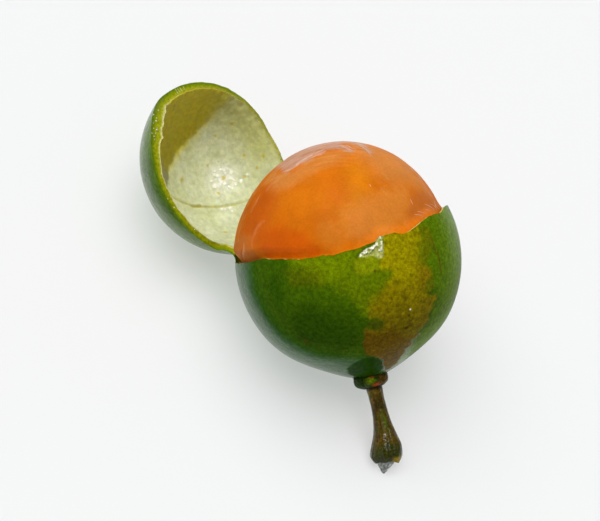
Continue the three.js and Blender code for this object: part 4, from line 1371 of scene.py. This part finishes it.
def build_stalk():
    azimuth = np.arange(200) * 1.8
    a = np.radians(azimuth)
    foot = STALK[-1]
    round_stalk = np.stack([1.2 * np.cos(a), 1.2 * np.sin(a), 0 * a], -1)
    tooth = 0.3 * np.exp(-((wrap(azimuth - 338) / 20) ** 2))
    tooth = tooth + 0.12 * np.exp(-((wrap(azimuth - 212) / 16) ** 2))
    ragged = tooth - 0.12 + 0.13 * noise(round_stalk, 0.4, 170)
    rows = []

    def ring(down, radius, stray, torn, ridge, tint_of):
        lines = 0.075 * noise(round_stalk + (0, 0, 0.1 * down), 0.8, 173)
        lines = lines + 0.035 * noise(round_stalk + (0, 0, 0.14 * down), 0.3, 174)
        r = radius * (1 + lines * ridge)
        z = -down - torn * (STALK_TIP["slant"] * r * np.cos(a) + ragged * smoothstep(radius, 0.6, 1.6))
        points = np.stack([stray + r * np.cos(a), r * np.sin(a), z], -1)
        bark = 0.06 * layered(points * (1, 1, 0.4), 0.5, 171)[:, None] * ridge
        points = points + bark * unit(points * (1, 1, 0) - (stray, 0, 0))
        rows.append((points, tint_of(points)))

    def bark_tint(points):
        tone = np.clip(0.5 + 0.9 * layered(points * (1, 1, 0.3), 0.5, 175), 0, 1)[:, None]
        tint = lerp(rgb(50, 36, 2), rgb(88, 68, 5), tone)
        down = -points[:, 2]
        green = smoothstep(layered(points * (1, 1, 0.4), 0.9, 177), 0.05, 0.4)[:, None] * 0.45
        tint = lerp(tint, rgb(40, 62, 3), green)
        flare = smoothstep(down + 0.5 * layered(points, 0.9, 179), 24.4, 26)[:, None]
        tint = lerp(tint, lerp(rgb(34, 34, 2), rgb(50, 58, 4), tone), 0.9 * flare)
        band = np.exp(-(((down - 25.3) / 0.2) ** 2) - (wrap(azimuth - 284) / 16) ** 2)[:, None]
        tint = lerp(tint, rgb(16, 44, 2), band)
        corner = smoothstep(np.abs(wrap(azimuth - 322)), 38, 12) * smoothstep(down, 26.6, 27.3)
        tint = lerp(tint, rgb(142, 120, 10), corner[:, None])
        olive = np.exp(-(((down - 22) / 1.5) ** 2) - (wrap(azimuth - 290) / 20) ** 2)[:, None]
        tint = lerp(tint, rgb(66, 84, 5), 0.7 * olive)
        # painted light: the top of the stalk is brightened, to cancel the shadow of the ball on it
        tint = tint * (1 + 1.5 * smoothstep(down, 20.6, 19))[:, None]
        # painted shade: the stalk is darker just under the calyx
        neck_shade = smoothstep(down, 17.8, 17.55)[:, None]
        return lerp(tint, rgb(28, 18, 3), 0.8 * neck_shade)

    downs = np.linspace(STALK[0][0], foot[0], 150)
    for down, (radius, stray) in zip(downs, through(STALK, downs)):
        ring(down, radius, stray, smoothstep(down, 25, foot[0]), 1.0, bark_tint)
    # the torn rim, then the hollow round the core, then the core itself, which is ragged and comes to a
    # point
    for u in np.linspace(0.08, 1, 24):
        inward, out = min(u / 0.35, 1), max(0, (u - 0.35) / 0.65)
        core = STALK_TIP["core_radius"] * (1 - out**1.4) + 0.1
        radius = lerp(foot[1], core, inward)
        down = foot[0] - STALK_TIP["rim_depth"] * inward + STALK_TIP["core_length"] * out
        stray = foot[2] + STALK_TIP["core_lean"] * out

        def core_tint(points, inward=inward):
            tone = np.clip(0.5 + 1.2 * layered(points * (1, 1, 0.5), 0.35, 181), 0, 1)[:, None]
            grey = lerp(rgb(84, 88, 80), rgb(196, 199, 194), tone)
            return lerp(rgb(140, 128, 40), grey, smoothstep(inward, 0.1, 0.6))

        ring(down, radius, stray, 1 - 0.7 * out, 1 + 2.6 * out, core_tint)
    top = np.array([[STALK[0][2], 0, -STALK[0][0]]])
    tip = rows[-1][0].mean(0, keepdims=True) - (0, 0, 0.06)
    return lofted("stalk_with_core", rows, stalk_material(), (top, rgb(50, 40, 10)),
        (tip, rgb(140, 140, 132)))


rind, torn_edge = build_rind()
pieces = [
    (rind, "rind"), (build_crumbs(torn_edge), "rind"),
    (build_flesh(), "flesh"), (build_fibres(), "flesh"),
    (build_calyx(), "calyx"),
    (build_stalk(), "stalk"),
]
for piece, node in (pieces[0], pieces[2], pieces[4], pieces[5]):
    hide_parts(node)


# ---- camera, floor and light -------------------------------------------------------------------------
PICTURE_AXES = LAY @ PICTURE_IN_FRUIT

camera = bpy.data.objects.new("camera", bpy.data.cameras.new("camera"))
bpy.context.scene.collection.objects.link(camera)
camera.data.sensor_width = 36
camera.data.lens = FOCAL_PIXELS / PICTURE_WIDTH * camera.data.sensor_width
camera.data.clip_start = 0.01
place = (PICTURE_AXES @ np.array(CAMERA_AT) + REST["centre"]) * MM
camera.matrix_world = Matrix.Translation(Vector(place)) @ Matrix(PICTURE_AXES.tolist()).to_4x4()
bpy.context.scene.camera = camera


def add_sun(name, towards, strength, angle, colour=(1, 1, 1)):
    light = bpy.data.objects.new(name, bpy.data.lights.new(name, "SUN"))
    light.data.energy = strength
    light.data.angle = np.radians(angle)
    light.data.color = colour
    light.rotation_mode = "QUATERNION"
    light.rotation_quaternion = Vector(towards).to_track_quat("Z", "Y")
    bpy.context.scene.collection.objects.link(light)
    return light


# The key lights the fruit alone, and a broad soft light from the same side lights the floor.
fruit_only = bpy.data.collections.new("fruit_only")
for piece, node in pieces:
    fruit_only.objects.link(piece)
key = add_sun("key", PICTURE_AXES @ np.array(KEY_FROM), 3.0, 1.6, (1, 0.985, 0.95))
key.light_linking.receiver_collection = fruit_only
lamp = add_sun("overhead_lamp", PICTURE_AXES @ np.array(LAMP_FROM), 0.3, 1.6)
lamp.light_linking.receiver_collection = fruit_only

world = bpy.data.worlds.new("studio")
bpy.context.scene.world = world
world.use_nodes = True
sky = world.node_tree.nodes["Background"]
sky.inputs["Color"].default_value = (0.94, 0.97, 1, 1)
upward = world.node_tree.nodes.new("ShaderNodeSeparateXYZ")
where = world.node_tree.nodes.new("ShaderNodeTexCoord")
world.node_tree.links.new(where.outputs["Generated"], upward.inputs[0])
fade = world.node_tree.nodes.new("ShaderNodeMapRange")
fade.inputs["From Min"].default_value = 0.0
fade.inputs["From Max"].default_value = 0.45
fade.inputs["To Min"].default_value = 0.7
fade.inputs["To Max"].default_value = 0.16
world.node_tree.links.new(upward.outputs["Z"], fade.inputs["Value"])
world.node_tree.links.new(fade.outputs["Result"], sky.inputs["Strength"])

floor_mesh = bpy.data.meshes.new("floor")
HALF = 2.0
floor_mesh.from_pydata([(-HALF, -HALF, 0), (HALF, -HALF, 0), (HALF, HALF, 0), (-HALF, HALF, 0)], [],
    [(0, 1, 2, 3)])
floor = bpy.data.objects.new("floor", floor_mesh)
bpy.context.scene.collection.objects.link(floor)
paper = Shader("paper")
paper.surface.inputs["Base Color"].default_value = (0.86, 0.86, 0.86, 1)
paper.surface.inputs["Roughness"].default_value = 0.9
paper.surface.inputs["Specular IOR Level"].default_value = 0.1
floor_mesh.materials.append(paper.material)
floor_only = bpy.data.collections.new("floor_only")
floor_only.objects.link(floor)
for name, strength in (("wash_with_shadow", 0.9), ("wash_without_shadow", 2.1)):
    wash = add_sun(name, PICTURE_AXES @ np.array(KEY_FROM), strength, 70)
    wash.light_linking.receiver_collection = floor_only
wash.light_linking.blocker_collection = floor_only

bpy.context.scene.view_settings.view_transform = "Standard"
